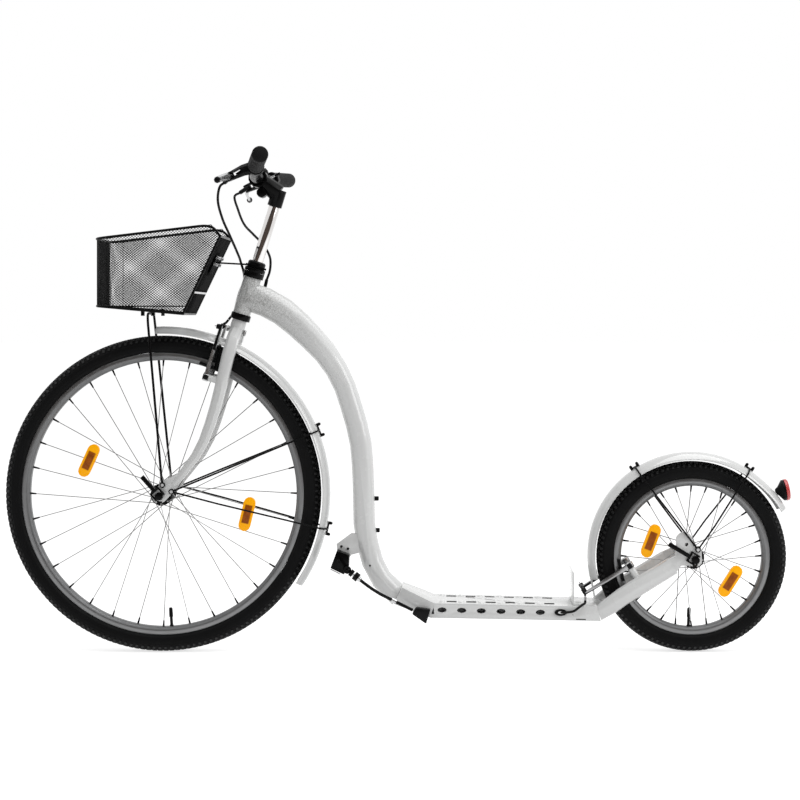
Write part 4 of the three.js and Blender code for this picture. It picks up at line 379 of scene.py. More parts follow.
def turned(shape, outline, centre, steps, angle=2 * math.pi, axis=SIDEWAYS, start=UP, closed=True):
    """Spins an outline of (radius, distance along the axis) places about an axis."""
    points = [shape.verts.new(centre + start * radius + axis * along) for radius, along in outline]
    edges = [shape.edges.new(pair) for pair in zip(points, points[1:])]
    if closed:
        edges.append(shape.edges.new((points[-1], points[0])))
    before = set(shape.faces)
    bmesh.ops.spin(
        shape, geom=points + edges, cent=centre, axis=axis, dvec=(0, 0, 0), angle=angle,
        steps=steps, use_merge=angle > 6.28, use_normal_flip=False, use_duplicate=False,
    )
    settle(shape, before)


def mix(first, second, start, end, t):
    return first * (end - t) / (end - start) + second * (t - start) / (end - start)


def smooth_route(points, steps):
    """Places along a smooth curve through the points, paced by the root of each stretch."""
    knots = [points[0] * 2 - points[1], *points, points[-1] * 2 - points[-2]]
    route = []
    for k in range(len(points) - 1):
        a, b, c, d = knots[k:k + 4]
        t1 = max((b - a).length, 1e-6) ** 0.5
        t2 = t1 + max((c - b).length, 1e-6) ** 0.5
        t3 = t2 + max((d - c).length, 1e-6) ** 0.5
        for step in range(steps):
            t = t1 + (t2 - t1) * step / steps
            ab, bc, cd = mix(a, b, 0, t1, t), mix(b, c, t1, t2, t), mix(c, d, t2, t3, t)
            route.append(mix(mix(ab, bc, 0, t2, t), mix(bc, cd, t1, t3, t), t1, t2, t))
    return [*route, points[-1]]


def swept(shape, route, radius, sides=12, finish_number=0):
    """A tube through the route, of one radius or one for each place, closed at both ends."""
    radii = radius if isinstance(radius, list) else [radius] * len(route)
    last = len(route) - 1
    along = [(route[min(k + 1, last)] - route[max(k - 1, 0)]).normalized() for k in range(last + 1)]
    turn = along[0].to_track_quat("Z", "Y")
    place = Matrix.LocRotScale(route[0], turn, Vector((1, 1, 1)) * radii[0])
    before = set(shape.faces)
    ring = bmesh.ops.create_circle(
        shape, cap_ends=True, radius=1, segments=sides, matrix=place,
    )["verts"]
    rim = (edge for vertex in ring for edge in vertex.link_edges if len(edge.link_faces) == 1)
    edges = list(dict.fromkeys(rim))
    for k in range(1, last + 1):
        turn = along[k - 1].rotation_difference(along[k]) @ turn
        new_place = Matrix.LocRotScale(route[k], turn, Vector((1, 1, 1)) * radii[k])
        made = bmesh.ops.extrude_edge_only(shape, edges=edges)["geom"]
        ring = [item for item in made if isinstance(item, bmesh.types.BMVert)]
        edges = [e for e in made if isinstance(e, bmesh.types.BMEdge) and e.is_boundary]
        bmesh.ops.transform(shape, matrix=new_place @ place.inverted(), verts=ring)
        place = new_place
    bmesh.ops.contextual_create(shape, geom=edges)
    settle(shape, before, finish_number)


def rod(shape, start, end, radius, sides=8, end_radius=None, finish_number=0):
    """A straight round bar or cone between two places."""
    before = set(shape.faces)
    line = end - start
    place = Matrix.LocRotScale((start + end) / 2, line.to_track_quat("Z", "Y"), None)
    bmesh.ops.create_cone(
        shape, cap_ends=True, segments=sides, radius1=radius, radius2=end_radius or radius,
        depth=line.length, matrix=place,
    )
    for face in shape.faces:
        if face not in before:
            face.material_index = finish_number


def around(axle, degrees, radius, y=0.0):
    """A place by its bearing round a wheel, in degrees back from straight up."""
    angle = math.radians(degrees)
    return axle + Vector((radius * math.sin(angle), y, radius * math.cos(angle)))


def off_axis(place, centre):
    """How far a place is from an axis that runs sideways through a centre."""
    return math.hypot(place.x - centre.x, place.z - centre.z)


# Wheels

TREAD_HEIGHT = 0.0022
TREAD_ROWS = (
    # bearing on the section in degrees, block length and width in mm, slant in degrees, and
    # shift as a share of the pitch
    (9, 7.6, 4.4, 24, 0.0),
    (-9, 7.6, 4.4, -24, 0.5),
    (30, 7.2, 4.8, 38, 0.3),
    (-30, 7.2, 4.8, -38, 0.8),
    (52, 4.6, 6.4, 12, 0.0),
    (-52, 4.6, 6.4, -12, 0.5),
)


def tyre(name, axle, bead, body, steps, pitches):
    """A tyre's round section spun about the axle, with rows of tread blocks."""
    middle = bead + 0.0195
    foot = bead + 0.0058
    outline = [(foot, -0.013)]
    arc_steps = 44
    for k in range(arc_steps + 1):
        bearing = math.radians(124 * (2 * k / arc_steps - 1))
        turn = abs(math.degrees(bearing))
        on_ridge = 72 < turn < 78 or 96 < turn < 101
        half = 0.0188 + (0.0006 if on_ridge else 0) + (0.0008 if turn > 112 else 0)
        outline.append((middle + half * math.cos(bearing), half * math.sin(bearing)))
    outline.append((foot, 0.013))
    shape = bmesh.new()
    turned(shape, outline, axle, steps)
    for section, length, width, slant, shift in TREAD_ROWS:
        lean = math.radians(section)
        size = Matrix.Diagonal((length / 1000, width / 1000, TREAD_HEIGHT, 1))
        block = Matrix.Rotation(math.radians(slant), 4, "Z") @ size
        for k in range(pitches):
            bearing = 2 * math.pi * (k + shift) / pitches
            outward = Vector((math.sin(bearing), 0, math.cos(bearing)))
            normal = outward * math.cos(lean) + SIDEWAYS * math.sin(lean)
            forward = outward.cross(SIDEWAYS).normalized()
            turn = Matrix((forward, normal.cross(forward), normal)).transposed().to_4x4()
            place = Matrix.Translation(axle + outward * middle + normal * 0.0189) @ turn @ block
            made = bmesh.ops.create_cube(shape, size=1, matrix=place)["verts"]
            for face in {face for vertex in made for face in vertex.link_faces}:
                face.material_index = 1
    finishes = (tyre_rubber, tread_rubber)
    piece(name + "_tyre_with_tread", shape, body, *finishes, stands_for=[name + "_tyre"], sharp=30)


FLANGE_HOLES = 0.0186  # their distance from the axle
FLANGE_OUT = 0.030


def spoke_line(axle, bead, count, index):
    """One laced spoke's ends: its hole in the hub's flange and its nipple in the rim."""
    side = 1 if index % 2 else -1
    leading = 1 if (index // 2) % 2 else -1
    rim_bearing = index * 360 / count
    hub_bearing = rim_bearing + leading * 3 * 360 / (count / 2)
    start = around(axle, hub_bearing, FLANGE_HOLES, side * (FLANGE_OUT + leading * 0.0017))
    return start, around(axle, rim_bearing, bead - 0.0104, side * 0.0025)


def other_side(half):
    """An outline's (radius, along) places mirrored, in the order that carries on round it."""
    return [(radius, -along) for radius, along in reversed(half)]


def rim_hoop(name, axle, bead, body, steps):
    """The rim, with a brighter brake track on each side."""
    low, shoulder, top = bead - 0.010, bead - 0.004, bead + 0.0055
    right = [
        (low, 0.0068), (low + 0.0006, 0.0078), (shoulder - 0.0008, 0.0116),
        (shoulder + 0.0006, 0.012), (top - 0.0008, 0.012), (top, 0.0114), (top, 0.0104),
    ]
    left = other_side(right)
    hoop = bmesh.new()
    turned(hoop, [left[-1], (low - 0.0004, 0), *right, (bead - 0.003, 0), *left[:-1]], axle, steps)

    def on_track(centre, normal):
        return abs(centre.y) > 0.01185 and off_axis(centre, axle) > shoulder

    share_out(hoop, on_track)
    piece(name + "_rim_hoop", hoop, body, rim_alloy, track_alloy, stands_for=[name + "_rim"])


VALVE_STAGES = (
    # start and end above the rim, radius at each, finish
    (0, 0.004, 0.0042, 0.0036, 0), (0.004, 0.02, 0.0030, 0.0030, 0),
    (0.02, 0.036, 0.0040, 0.0038, 1), (0.036, 0.0385, 0.0038, 0.0026, 1),
)


def valve(name, axle, bead, body, lean):
    stem = bmesh.new()
    downward = Vector((lean, 0, -1)).normalized()
    seat = axle + downward * (bead - 0.009)
    for start, end, radius, tip, number in VALVE_STAGES:
        rod(stem, seat - downward * start, seat - downward * end, radius, 16, tip, number)
    piece(name + "_valve", stem, body, soft_rubber, black_plastic)


def lacing(name, axle, bead, body, count):
    """The spokes, each with its head at the hub and its black nipple at the rim."""
    shape = bmesh.new()
    for index in range(count):
        start, end = spoke_line(axle, bead, count, index)
        line = (end - start).normalized()
        side = SIDEWAYS if start.y > 0 else -SIDEWAYS
        rod(shape, start, end, 0.0009, 6)
        rod(shape, start - side * 0.002, start + side * 0.0022, 0.0016, 8)
        rod(shape, end - line * 0.012, end, 0.0015, 8, 0.0021, 1)
    piece(name + "_lacing", shape, body, spoke_steel, black_enamel)


def hub_shell(name, axle, body):
    shell = bmesh.new()
    left = [
        (0.0054, -0.036), (0.0125, -0.036), (0.013, -0.0355), (0.013, -0.0318), (0.0212, -0.0318),
        (0.022, -0.0311), (0.022, -0.0289), (0.0212, -0.0282), (0.0135, -0.0275), (0.0112, -0.0245),
        (0.0105, -0.018),
    ]
    turned(shell, left + other_side(left), axle, 48)
    share_out(shell, lambda centre, normal: abs(centre.y) > 0.0354)
    stands_for = [name + "_hub_and_spokes"]
    piece(name + "_hub_shell", shell, body, black_enamel, bright_steel, stands_for=stands_for)


def wheel(name, axle, bead, spokes, steps, pitches, valve_lean, reflectors):
    """A wheel with its tyre, rim, valve, spokes, hub and (distance, bearing) reflectors."""
    body = name + "_wheel"
    tyre(name, axle, bead, body, steps, pitches)
    rim_hoop(name, axle, bead, body, steps)
    valve(name, axle, bead, body, valve_lean)
    lacing(name, axle, bead, body, spokes)
    hub_shell(name, axle, body)
    for number, (radius, bearing) in enumerate(reflectors, 1):
        angle = math.radians(bearing)
        centre = axle + Vector((radius * math.cos(angle), 0, radius * math.sin(angle)))
        amber = amber_finish(f"amber_{name}_{number}", centre, -(angle + math.pi / 2))
        refined(f"{name}_reflector_{number}", amber, edge=0.0012, segments=3)


wheel("front", FRONT_AXLE, FRONT_BEAD, 32, 180, 168, 0.06, [(0.163, 155.6), (0.175, -13.5)])
wheel("rear", REAR_AXLE, REAR_BEAD, 28, 128, 104, -0.04, [(0.0894, 158.9), (0.0912, -32.6)])


# Fenders

FENDER_LIFT = 0.0188  # from the tyre to the fender's outer side


def fender(axle, tyre_radius, first, last, flare):
    """A curved channel over a wheel between two bearings, its rear end flared, its edges rolled."""
    shape = bmesh.new()
    across = 16
    outline = []
    for k in range(across + 1):
        share = 2 * k / across - 1
        outline.append((tyre_radius + FENDER_LIFT - 0.0138 * abs(share) ** 2.6, share * 0.025))
    turned(
        shape, outline, axle, int((last - first) / 1.5), angle=math.radians(last - first),
        start=around(Vector(), first, 1), closed=False,
    )
    for vertex in shape.verts:
        place = vertex.co - axle
        degrees = math.degrees(math.atan2(place.x, place.z))
        share = (degrees - first) / (last - first)
        rise = min(max((share - 0.86) / 0.14, 0), 1)
        outward = Vector((place.x, 0, place.z)).normalized()
        vertex.co += outward * flare * rise * rise * (3 - 2 * rise)
    outside = sum(face.normal.dot(face.calc_center_median() - axle) for face in shape.faces)
    if outside < 0:
        bmesh.ops.reverse_faces(shape, faces=shape.faces)
    bmesh.ops.solidify(shape, geom=shape.faces[:], thickness=0.002)
    round_edges(shape, 0.0006, 50, 2)
    return shape


front_shell = fender(FRONT_AXLE, FRONT_TYRE, -2.4, 123.6, 0)
piece("front_fender_shell", front_shell, "steering", fender_paint, stands_for=["front_fender"])
rear_shell = fender(REAR_AXLE, REAR_TYRE, -103, 62.9, 0.004)
piece("rear_fender_shell", rear_shell, "frame", fender_paint)


def mirrored(half):
    """The route with its mirror image on the right."""
    return half + [Vector((place.x, -place.y, place.z)) for place in reversed(half)]


def rounded(points, reach, steps=4):
    """The route with each corner cut back by reach and rounded."""
    route = [points[0]]
    for before, corner, after in zip(points, points[1:], points[2:]):
        start, end = (
            corner + (place - corner).normalized() * min(reach, (place - corner).length * 0.45)
            for place in (before, after)
        )
        for k in range(steps + 1):
            t = k / steps
            route.append(start * (1 - t) ** 2 + corner * 2 * t * (1 - t) + end * t ** 2)
    return [*route, points[-1]]


def beside(place, y):
    return Vector((place.x, y, place.z))


def eyelets(shape, eye, out):
    """The ringed ends of a wire on both sides of an axle, each with its screw's bright head."""
    for side in (-1, 1):
        base, ring, head = (beside(eye, side * (out + past)) for past in (0, 0.004, 0.0052))
        rod(shape, base, ring, 0.0055, 20)
        rod(shape, ring, head, 0.0034, 6, finish_number=1)


def fender_stays(name, axle, tyre_radius, behind, above, bearings, body):
    """Wires from the axle's sides up over a fender, each with a cross bar and two screws on top."""
    wire = 0.0018
    eye = axle + Vector((behind, 0, above))
    out = 0.0574
    over = tyre_radius + FENDER_LIFT + 0.0003 + wire
    shape = bmesh.new()
    for degrees in bearings:
        edge = around(axle, degrees, tyre_radius + 0.002)
        half = [beside(eye, -out), beside(eye.lerp(edge, 0.32), -out)]
        half += [beside(eye.lerp(edge, 0.8), -0.034), beside(edge, -0.0276)]
        for lift, y in ((0.007, -0.0274), (0.014, -0.023), (0.0186, -0.015)):
            half.append(around(axle, degrees, tyre_radius + lift, y))
        half.append(around(axle, degrees, over, -0.008))
        swept(shape, rounded(mirrored(half), 0.004, 3), wire, 10)
        bar = [around(axle, degrees - 2.4, over), around(axle, degrees + 2.4, over)]
        swept(shape, bar, wire, 10)
        for side in (-1, 1):
            foot = around(axle, degrees + side * 1.9, over - 0.0018)
            head = around(axle, degrees + side * 1.9, over + 0.005)
            rod(shape, foot, head, 0.0032, 12)
            rod(shape, head, head + (head - foot) * 0.35, 0.0032, 12, 0.0018)
    eyelets(shape, eye, out - wire)
    name += "_fender_stays"
    piece(name + "_finished", shape, body, black_enamel, bright_steel, stands_for=[name])


fender_stays("front", FRONT_AXLE, FRONT_TYRE, 0.0242, 0.0087, (67.9, 102.1), "steering")
fender_stays("rear", REAR_AXLE, REAR_TYRE, 0.0052, 0.0201, (-32.4, 33.4), "frame")


# Basket

BASKET = {
    # corners seen from the side, as (x, z)
    "front_top": (-0.597, 0.8305), "back_top": (-0.3675, 0.858), "back_bend": (-0.350, 0.836),
    "back_low": (-0.4234, 0.682), "front_low": (-0.5966, 0.6975),
}
BASKET_HALF = 0.086
BASKET_CORNER = 0.024
CELL = (0.0062, 0.0050)
STRAND = 0.0014
BASKET_WIRE = 0.0026


def lattice(shape, size):
    """A flat net of diamonds in the XY plane, wide enough for a square of that size."""
    count = int(size * 1.5 / min(CELL)) // 2 * 2
    place = Matrix.Diagonal((CELL[0], CELL[1], 1, 1)) @ Matrix.Rotation(math.radians(45), 4, "Z")
    place = place @ Matrix.Diagonal((0.7071, 0.7071, 1, 1))
    bmesh.ops.create_grid(shape, x_segments=count, y_segments=count, size=count / 2, matrix=place)


def trim(shape, point, outward, chosen=None):
    """Cuts away what lies beyond a plane, among the chosen faces or all."""
    faces = shape.faces[:] if chosen is None else chosen
    # A dict keeps the order, so that each run cuts the same
    parts = dict.fromkeys(part for face in faces for part in (face, *face.verts, *face.edges))
    bmesh.ops.bisect_plane(
        shape, geom=list(parts), dist=1e-7, plane_co=point, plane_no=outward, clear_outer=True,
    )


def outward_from(middle, a, b):
    """The way out across an edge from a to b in the net's plane."""
    edge = (b - a).normalized()
    outward = Vector((edge.y, -edge.x, 0))
    return -outward if outward.dot(middle - a) > 0 else outward


def strands(shape):
    """Makes the net's edges thin bars."""
    bmesh.ops.remove_doubles(shape, verts=shape.verts, dist=2e-5)
    bmesh.ops.wireframe(
        shape, faces=shape.faces[:], thickness=STRAND, offset=0, use_replace=True,
        use_boundary=True, use_even_offset=False,
    )


def flat_net(corners):
    """A net cut to the outline of 3-D corners that lie in one plane, in order round it."""
    origin = corners[0]
    along = (corners[1] - origin).normalized()
    normal = along.cross(corners[-1] - origin).normalized()
    upward = normal.cross(along)
    flat = [Vector(((c - origin).dot(along), (c - origin).dot(upward), 0)) for c in corners]
    middle = sum(flat, Vector()) / len(flat)
    reach = max((place - middle).length for place in flat) * 2
    shape = bmesh.new()
    lattice(shape, reach)
    bmesh.ops.translate(shape, vec=middle, verts=shape.verts)
    for a, b in zip(flat, flat[1:] + flat[:1]):
        trim(shape, a, outward_from(middle, a, b))
    strands(shape)
    turn = Matrix((along, upward, normal)).transposed().to_4x4()
    bmesh.ops.transform(shape, matrix=Matrix.Translation(origin) @ turn, verts=shape.verts)
    return shape


def basket_wall():
    """The net of the basket's front and sides, cut flat and wrapped round the front corners."""
    front_x = BASKET["front_top"][0]
    arc = BASKET_CORNER * math.pi / 2
    flat_half = BASKET_HALF - BASKET_CORNER
    side_start = flat_half + arc

    shape = bmesh.new()
    lattice(shape, 0.72)
    bmesh.ops.translate(shape, vec=(0, 0.765, 0), verts=shape.verts)
    trim(shape, Vector((0, 0.875, 0)), Vector((0, 1, 0)))
    trim(shape, Vector((0, 0.675, 0)), Vector((0, -1, 0)))
    for side in (-1, 1):
        bmesh.ops.bisect_plane(
            shape, geom=shape.faces[:] + shape.edges[:] + shape.verts[:], dist=1e-7,
            plane_co=(side * side_start, 0, 0), plane_no=(side, 0, 0),
        )

    def part(low, high):
        return [f for f in shape.faces if low < f.calc_center_median().x < high]

    front_top, front_low = BASKET["front_top"][1], BASKET["front_low"][1]
    trim(shape, Vector((0, front_top, 0)), Vector((0, 1, 0)), part(-side_start, side_start))
    trim(shape, Vector((0, front_low, 0)), Vector((0, -1, 0)), part(-side_start, side_start))
    places = [Vector((side_start, front_top, 0))]
    for key in ("back_top", "back_bend", "back_low"):
        x, z = BASKET[key]
        places.append(Vector((side_start + (x - (front_x + BASKET_CORNER)), z, 0)))
    places.append(Vector((side_start, front_low, 0)))
    middle = sum(places, Vector()) / len(places)
    for side in (-1, 1):
        low, high = (side_start, 1) if side > 0 else (-1, -side_start)
        for a, b in zip(places, places[1:]):
            outward = outward_from(middle, a, b)
            outward.x *= side
            trim(shape, Vector((side * a.x, a.y, 0)), outward, part(low, high))
    strands(shape)
    for vertex in shape.verts:
        run, height, out = vertex.co
        side = 1 if run > 0 else -1
        run = abs(run)
        if run < flat_half:
            vertex.co = (front_x - out, side * run, height)
        elif run < side_start:
            bearing = (run - flat_half) / BASKET_CORNER
            radius = BASKET_CORNER + out
            vertex.co = (
                front_x + BASKET_CORNER - radius * math.cos(bearing),
                side * (flat_half + radius * math.sin(bearing)),
                height,
            )
        else:
            straight = front_x + BASKET_CORNER + run - side_start
            vertex.co = (straight, side * (BASKET_HALF + out), height)
    bmesh.ops.recalc_face_normals(shape, faces=shape.faces)
    return shape


def at(key, y, behind=0.0):
    """A corner of the basket at a distance to the side, or some way behind it."""
    x, z = BASKET[key]
    return Vector((x + behind, y, z))


def basket():
    """The nets, the wires along their edges and the wires of the back."""
    half, corner = BASKET_HALF, BASKET_CORNER
    piece("basket_side_net", basket_wall(), "steering", black_enamel, stands_for=["basket"])
    low_back, high_back = ([at(key, -half), at(key, half)] for key in ("back_low", "back_bend"))
    piece("basket_back_net", flat_net(low_back + high_back[::-1]), "steering", black_enamel)
    cut = corner * 0.7
    floor_net = flat_net([
        at("front_low", cut - half), at("front_low", -half, cut), at("back_low", -half),
        at("back_low", half), at("front_low", half, cut), at("front_low", half - cut),
    ])
    piece("basket_floor_net", floor_net, "steering", black_enamel)

    wires = bmesh.new()
    top_loop = mirrored([at("back_bend", -half), at("back_top", -half), at("front_top", -half)])
    swept(wires, rounded(top_loop, corner, 6), BASKET_WIRE, 12)
    low_loop = mirrored([at("back_low", -half), at("front_low", -half)])
    swept(wires, rounded(low_loop, corner, 6), BASKET_WIRE, 12)
    for route in (*zip(low_back, high_back), low_back, high_back):
        swept(wires, route, BASKET_WIRE, 12)
    piece("basket_wires", wires, "steering", black_enamel)


basket()


def basket_strut():
    """The bent wire that holds the basket's floor up from both ends of the front axle."""
    out = 0.0577
    eye = FRONT_AXLE + Vector((0.0064, 0, 0.0218))
    half = [beside(eye, -out), Vector((eye.x - 0.002, -out, eye.z + 0.015))]
    half += mm((-500, -42, 665), (-501, -38, 680), (-501.2, -30, 682.8))
    shape = bmesh.new()
    swept(shape, rounded(mirrored(half), 0.005, 4), 0.0025, 12)
    eyelets(shape, eye, out - 0.0021)
    finishes = (black_enamel, bright_steel)
    piece("basket_strut_finished", shape, "steering", *finishes, stands_for=["basket_strut"])


basket_strut()


# Handlebar and grips

BAR_LINE = [
    steer(-20.8, -300, 309), steer(-38, -175, 294.6), steer(-45, -92, 282.8), steer(-47, -58, 280),
    steer(-47, -30, 280),
]
BAR_ROUTE = smooth_route(mirrored(BAR_LINE), 16)
BAR_THICK, BAR_THIN = 0.0127, 0.0111
GRIP_BODY, GRIP_RING = 0.0150, 0.0155
GRIP_START, GRIP_LENGTH = 0.1721, 0.124


def bar_place(y):
    """The point of the bar's centre line at a distance to the side."""
    for a, b in zip(BAR_ROUTE, BAR_ROUTE[1:]):
        if a.y <= y <= b.y:
            return a.lerp(b, (y - a.y) / (b.y - a.y))
    return BAR_ROUTE[0] if y < 0 else BAR_ROUTE[-1]


def handlebar():
    """The bar, thickest where the stem clamps it."""
    shape = bmesh.new()
    stops = [-0.298 + 0.596 * k / 60 for k in range(61)]
    radii = []
    for y in stops:
        share = min(max((abs(y) - 0.035) / 0.045, 0), 1)
        radii.append(BAR_THICK - (BAR_THICK - BAR_THIN) * share * share * (3 - 2 * share))
    swept(shape, [bar_place(y) for y in stops], radii, 28)
    piece("handlebar_tube", shape, "steering", black_enamel, stands_for=["handlebar"])


def grip(name, side):
    """A moulded grip: a flange at its inner end, shallow rings along it and a domed end."""
    shape = bmesh.new()
    stops, radii = [], []
    steps = 62
    for k in range(steps + 1):
        share = k / steps
        on_ring = share < 0.03 or (0.08 < share < 0.92 and k % 2)
        stops.append(bar_place(side * (GRIP_START + share * GRIP_LENGTH)))
        radii.append(GRIP_RING if on_ring else GRIP_BODY)
    ahead = (stops[-1] - stops[-3]).normalized()
    tip = stops[-1]
    end = ((0.003, GRIP_RING), (0.0075, GRIP_RING), (0.0095, 0.0149), (0.0105, 0.013))
    for past, radius in end:
        stops.append(tip + ahead * past)
        radii.append(radius)
    swept(shape, stops, radii, 32)
    piece(name + "_moulded", shape, "steering", grip_rubber, stands_for=[name], sharp=60)


handlebar()
grip("grip_left", -1)
grip("grip_right", 1)


# Cables

CABLE = 0.0025  # the housing's radius


def adjuster_end(side):
    """Where a cable leaves its lever's adjuster, and which way."""
    direction = Vector((-0.72, -0.45 * side, -0.53)).normalized()
    pivot = bar_place(0.158 * side) + Vector((-0.048, 0, -0.017))
    pivot.y = 0.152 * side
    return pivot - SIDEWAYS * 0.009 * side + direction * 0.0223, direction


def cable(name, points, body):
    """A cable's housing along a smooth route."""
    route = smooth_route(points, 8)
    shape = bmesh.new()
    swept(shape, route, CABLE, 12)
    made = piece(name + "_housing", shape, body, soft_rubber, stands_for=[name])
    return made


front_end, front_line = adjuster_end(-1)
front_mouth = steer(-27, 45, -13)
front_mouth_line = Vector((0.62, -0.05, 0.78)).normalized()
cable(
    "front_brake_cable",
    [front_end, front_end + front_line * 0.012]
    + mm((-349, -128, 905), (-343, -108, 870), (-332, -78, 838), (-322, -38, 806), (-319, -2, 788))
    + [steer(-18, 18, 78), steer(-19, 20, 46), steer(-19, 26, 22), steer(-19, 36, 2)]
    + [front_mouth + front_mouth_line * 0.008, front_mouth + front_mouth_line * 0.0006],
    "steering",
)
upper_end, upper_line = adjuster_end(1)
upper_points = [upper_end, upper_end + upper_line * 0.014] + mm(
    (-338, 118, 900), (-322, 90, 868), (-300, 60, 846), (-276, 38, 822), (-262, 26, 796),
    (-262, 20, 770), (-268, 16, 751),
)
upper_cable = cable("rear_brake_cable_upper", upper_points, None)
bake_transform(upper_cable)
rear_mouth = Vector((0.3745, -0.051, 0.1105))
rear_mouth_line = Vector((-0.1, -0.3, -0.95)).normalized()
cable(
    "rear_brake_cable_lower",
    mm((298, -33, 87), (311, -46, 87.2), (323, -57.5, 87.5), (335, -65, 88.5), (350, -67.5, 91.5),
       (361, -66.5, 99), (368.5, -61.5, 103.4))
    + [rear_mouth + rear_mouth_line * 0.005, rear_mouth + rear_mouth_line * 0.0006],
    "frame",
)


# Tail light

LIGHT_AXIS = Vector((math.cos(math.radians(9.6)), 0, math.sin(math.radians(9.6))))
LENS_FACE = REAR_AXLE + Vector((0.1965, 0, 0.1344))


def tail_light():
    """The lens, with rings pressed in its face."""
    across = LIGHT_AXIS.cross(SIDEWAYS).normalized()
    shape = bmesh.new()
    outline = [(0, -0.007), (0.0214, -0.007), (0.022, -0.0064), (0.022, -0.0022), (0.0212, -0.0009)]
    for k in range(9):
        radius = 0.0204 - k * 0.0024
        outline += [(radius, 0), (radius - 0.0012, -0.0008)]
    outline.append((0, -0.0004))
    turned(shape, outline, LENS_FACE, 64, axis=LIGHT_AXIS, start=across, closed=False)
    bmesh.ops.remove_doubles(shape, verts=shape.verts, dist=1e-6)
    bmesh.ops.recalc_face_normals(shape, faces=shape.faces)
    piece("tail_light_lens_ribbed", shape, "frame", red_lens, stands_for=["tail_light_lens"])


tail_light()


# Pieces that keep their CAD shape, with rounded edges

def arm_finish(axle, bead, pivot, top):
    """Chooses rubber for a brake arm's pad, pivot and boot, the rest staying metal."""
    def choose(centre, normal):
        by_rim = abs(off_axis(centre, axle) - (bead - 0.006)) < 0.006 and abs(centre.y) < 0.0234
        at_pivot = off_axis(centre, pivot) < 0.0075 and abs(centre.y) > 0.03
        return by_rim or at_pivot or off_axis(centre, top) < 0.0135
    return choose


front_finish = arm_finish(FRONT_AXLE, FRONT_BEAD, steer(-22, 0, -133), steer(-33, 0, -27))
rear_finish = arm_finish(
    REAR_AXLE, REAR_BEAD, Vector((0.4673, 0, 0.1728)), Vector((0.3725, 0, 0.133)),
)
for hand in ("left", "right"):
    refined("front_brake_arm_" + hand, bright_steel, soft_rubber, choose=front_finish)
    refined("rear_brake_arm_" + hand, brake_alloy, soft_rubber, choose=rear_finish)
    refined("brake_bracket_" + hand, black_plastic, edge=0.0008)
    refined(
        "brake_lever_" + hand, bright_steel, black_plastic, edge=0.0012, segments=3,
        choose=lambda centre, normal: not 0.16 <= abs(centre.y) <= 0.262,
    )
    refined("rear_stay_" + hand, white_paint, edge=0.0012, segments=3)

PLAIN = (
    # nodes, finish, reach of their rounded edges
    ("main_tube", faded_paint(), 0.0006),
    ("heel_guard fork", white_paint, 0.0006),
    ("front_fender_bracket", bright_steel, 0.0005),
    ("quill_post", chrome, 0.0004),
    ("stem", black_enamel, 0.001),
    ("headset_lower_cup headset_upper_cup headset_locknut", black_enamel, 0.0006),
    ("bell", black_plastic, 0.0008),
    ("basket_bracket", matt_black, 0.0005),
    ("cable_grommet", soft_rubber, 0.0008),
    ("kickstand_head", black_enamel, 0.0008),
    ("tail_light_housing", black_plastic, 0.0006),
    ("front_axle rear_axle", black_enamel, 0.0005),
    ("front_quick_release rear_quick_release", black_plastic, 0.001),
)
for names, material, reach in PLAIN:
    for node in names.split():
        refined(node, material, edge=reach)


def inside_deck(centre, normal):
    """Chooses the greyer white for the deck's inner faces, its walls, its bottom and its top, as
    painted shade.
    """
    out = abs(centre.y)
    wall = out > 0.05 and centre.x < 0.4 and abs(normal.y) > 0.7 and normal.y * centre.y < 0
    bottom = out < 0.05 and normal.z > 0.7 and centre.z < 0.078
    top = out < 0.05 and normal.z < -0.7 and centre.z > 0.085
    return wall or bottom or top


# The deck's inner faces take the greyer white as painted shade.
refined("deck", white_paint, deck_inside_painted_shade, edge=0.0007, choose=inside_deck)
refined(
    "bell_striker", black_plastic, bright_steel, choose=lambda centre, normal: centre.x < -0.262,
)


# The tab that holds the rear fender's front end above the deck, cut from the CAD fender
fender_tab = cad_copy("rear_fender")
cut_off(fender_tab, (0, 0, 0.168), (0, 0, 1))
piece("rear_fender_tab", fender_tab, "frame", fender_paint, stands_for=["rear_fender"])


# Small fittings

def plate(shape, outline, low, high):
    """A flat plate from an outline of (x, z) places, between two distances to the side, in mm."""
    points = [shape.verts.new((x / 1000, low / 1000, z / 1000)) for x, z in outline]
    edges = [shape.edges.new(pair) for pair in zip(points, points[1:] + points[:1])]
    before = set(shape.faces)
    base = bmesh.ops.contextual_create(shape, geom=edges)["faces"]
    made = bmesh.ops.extrude_face_region(shape, geom=base, use_keep_orig=True)["geom"]
    tops = [item for item in made if isinstance(item, bmesh.types.BMVert)]
    bmesh.ops.translate(shape, vec=(0, (high - low) / 1000, 0), verts=tops)
    settle(shape, before)


def pin(shape, start, end, radius, sides, **options):
    """A rod between two places in mm."""
    rod(shape, *mm(start, end), radius, sides, **options)


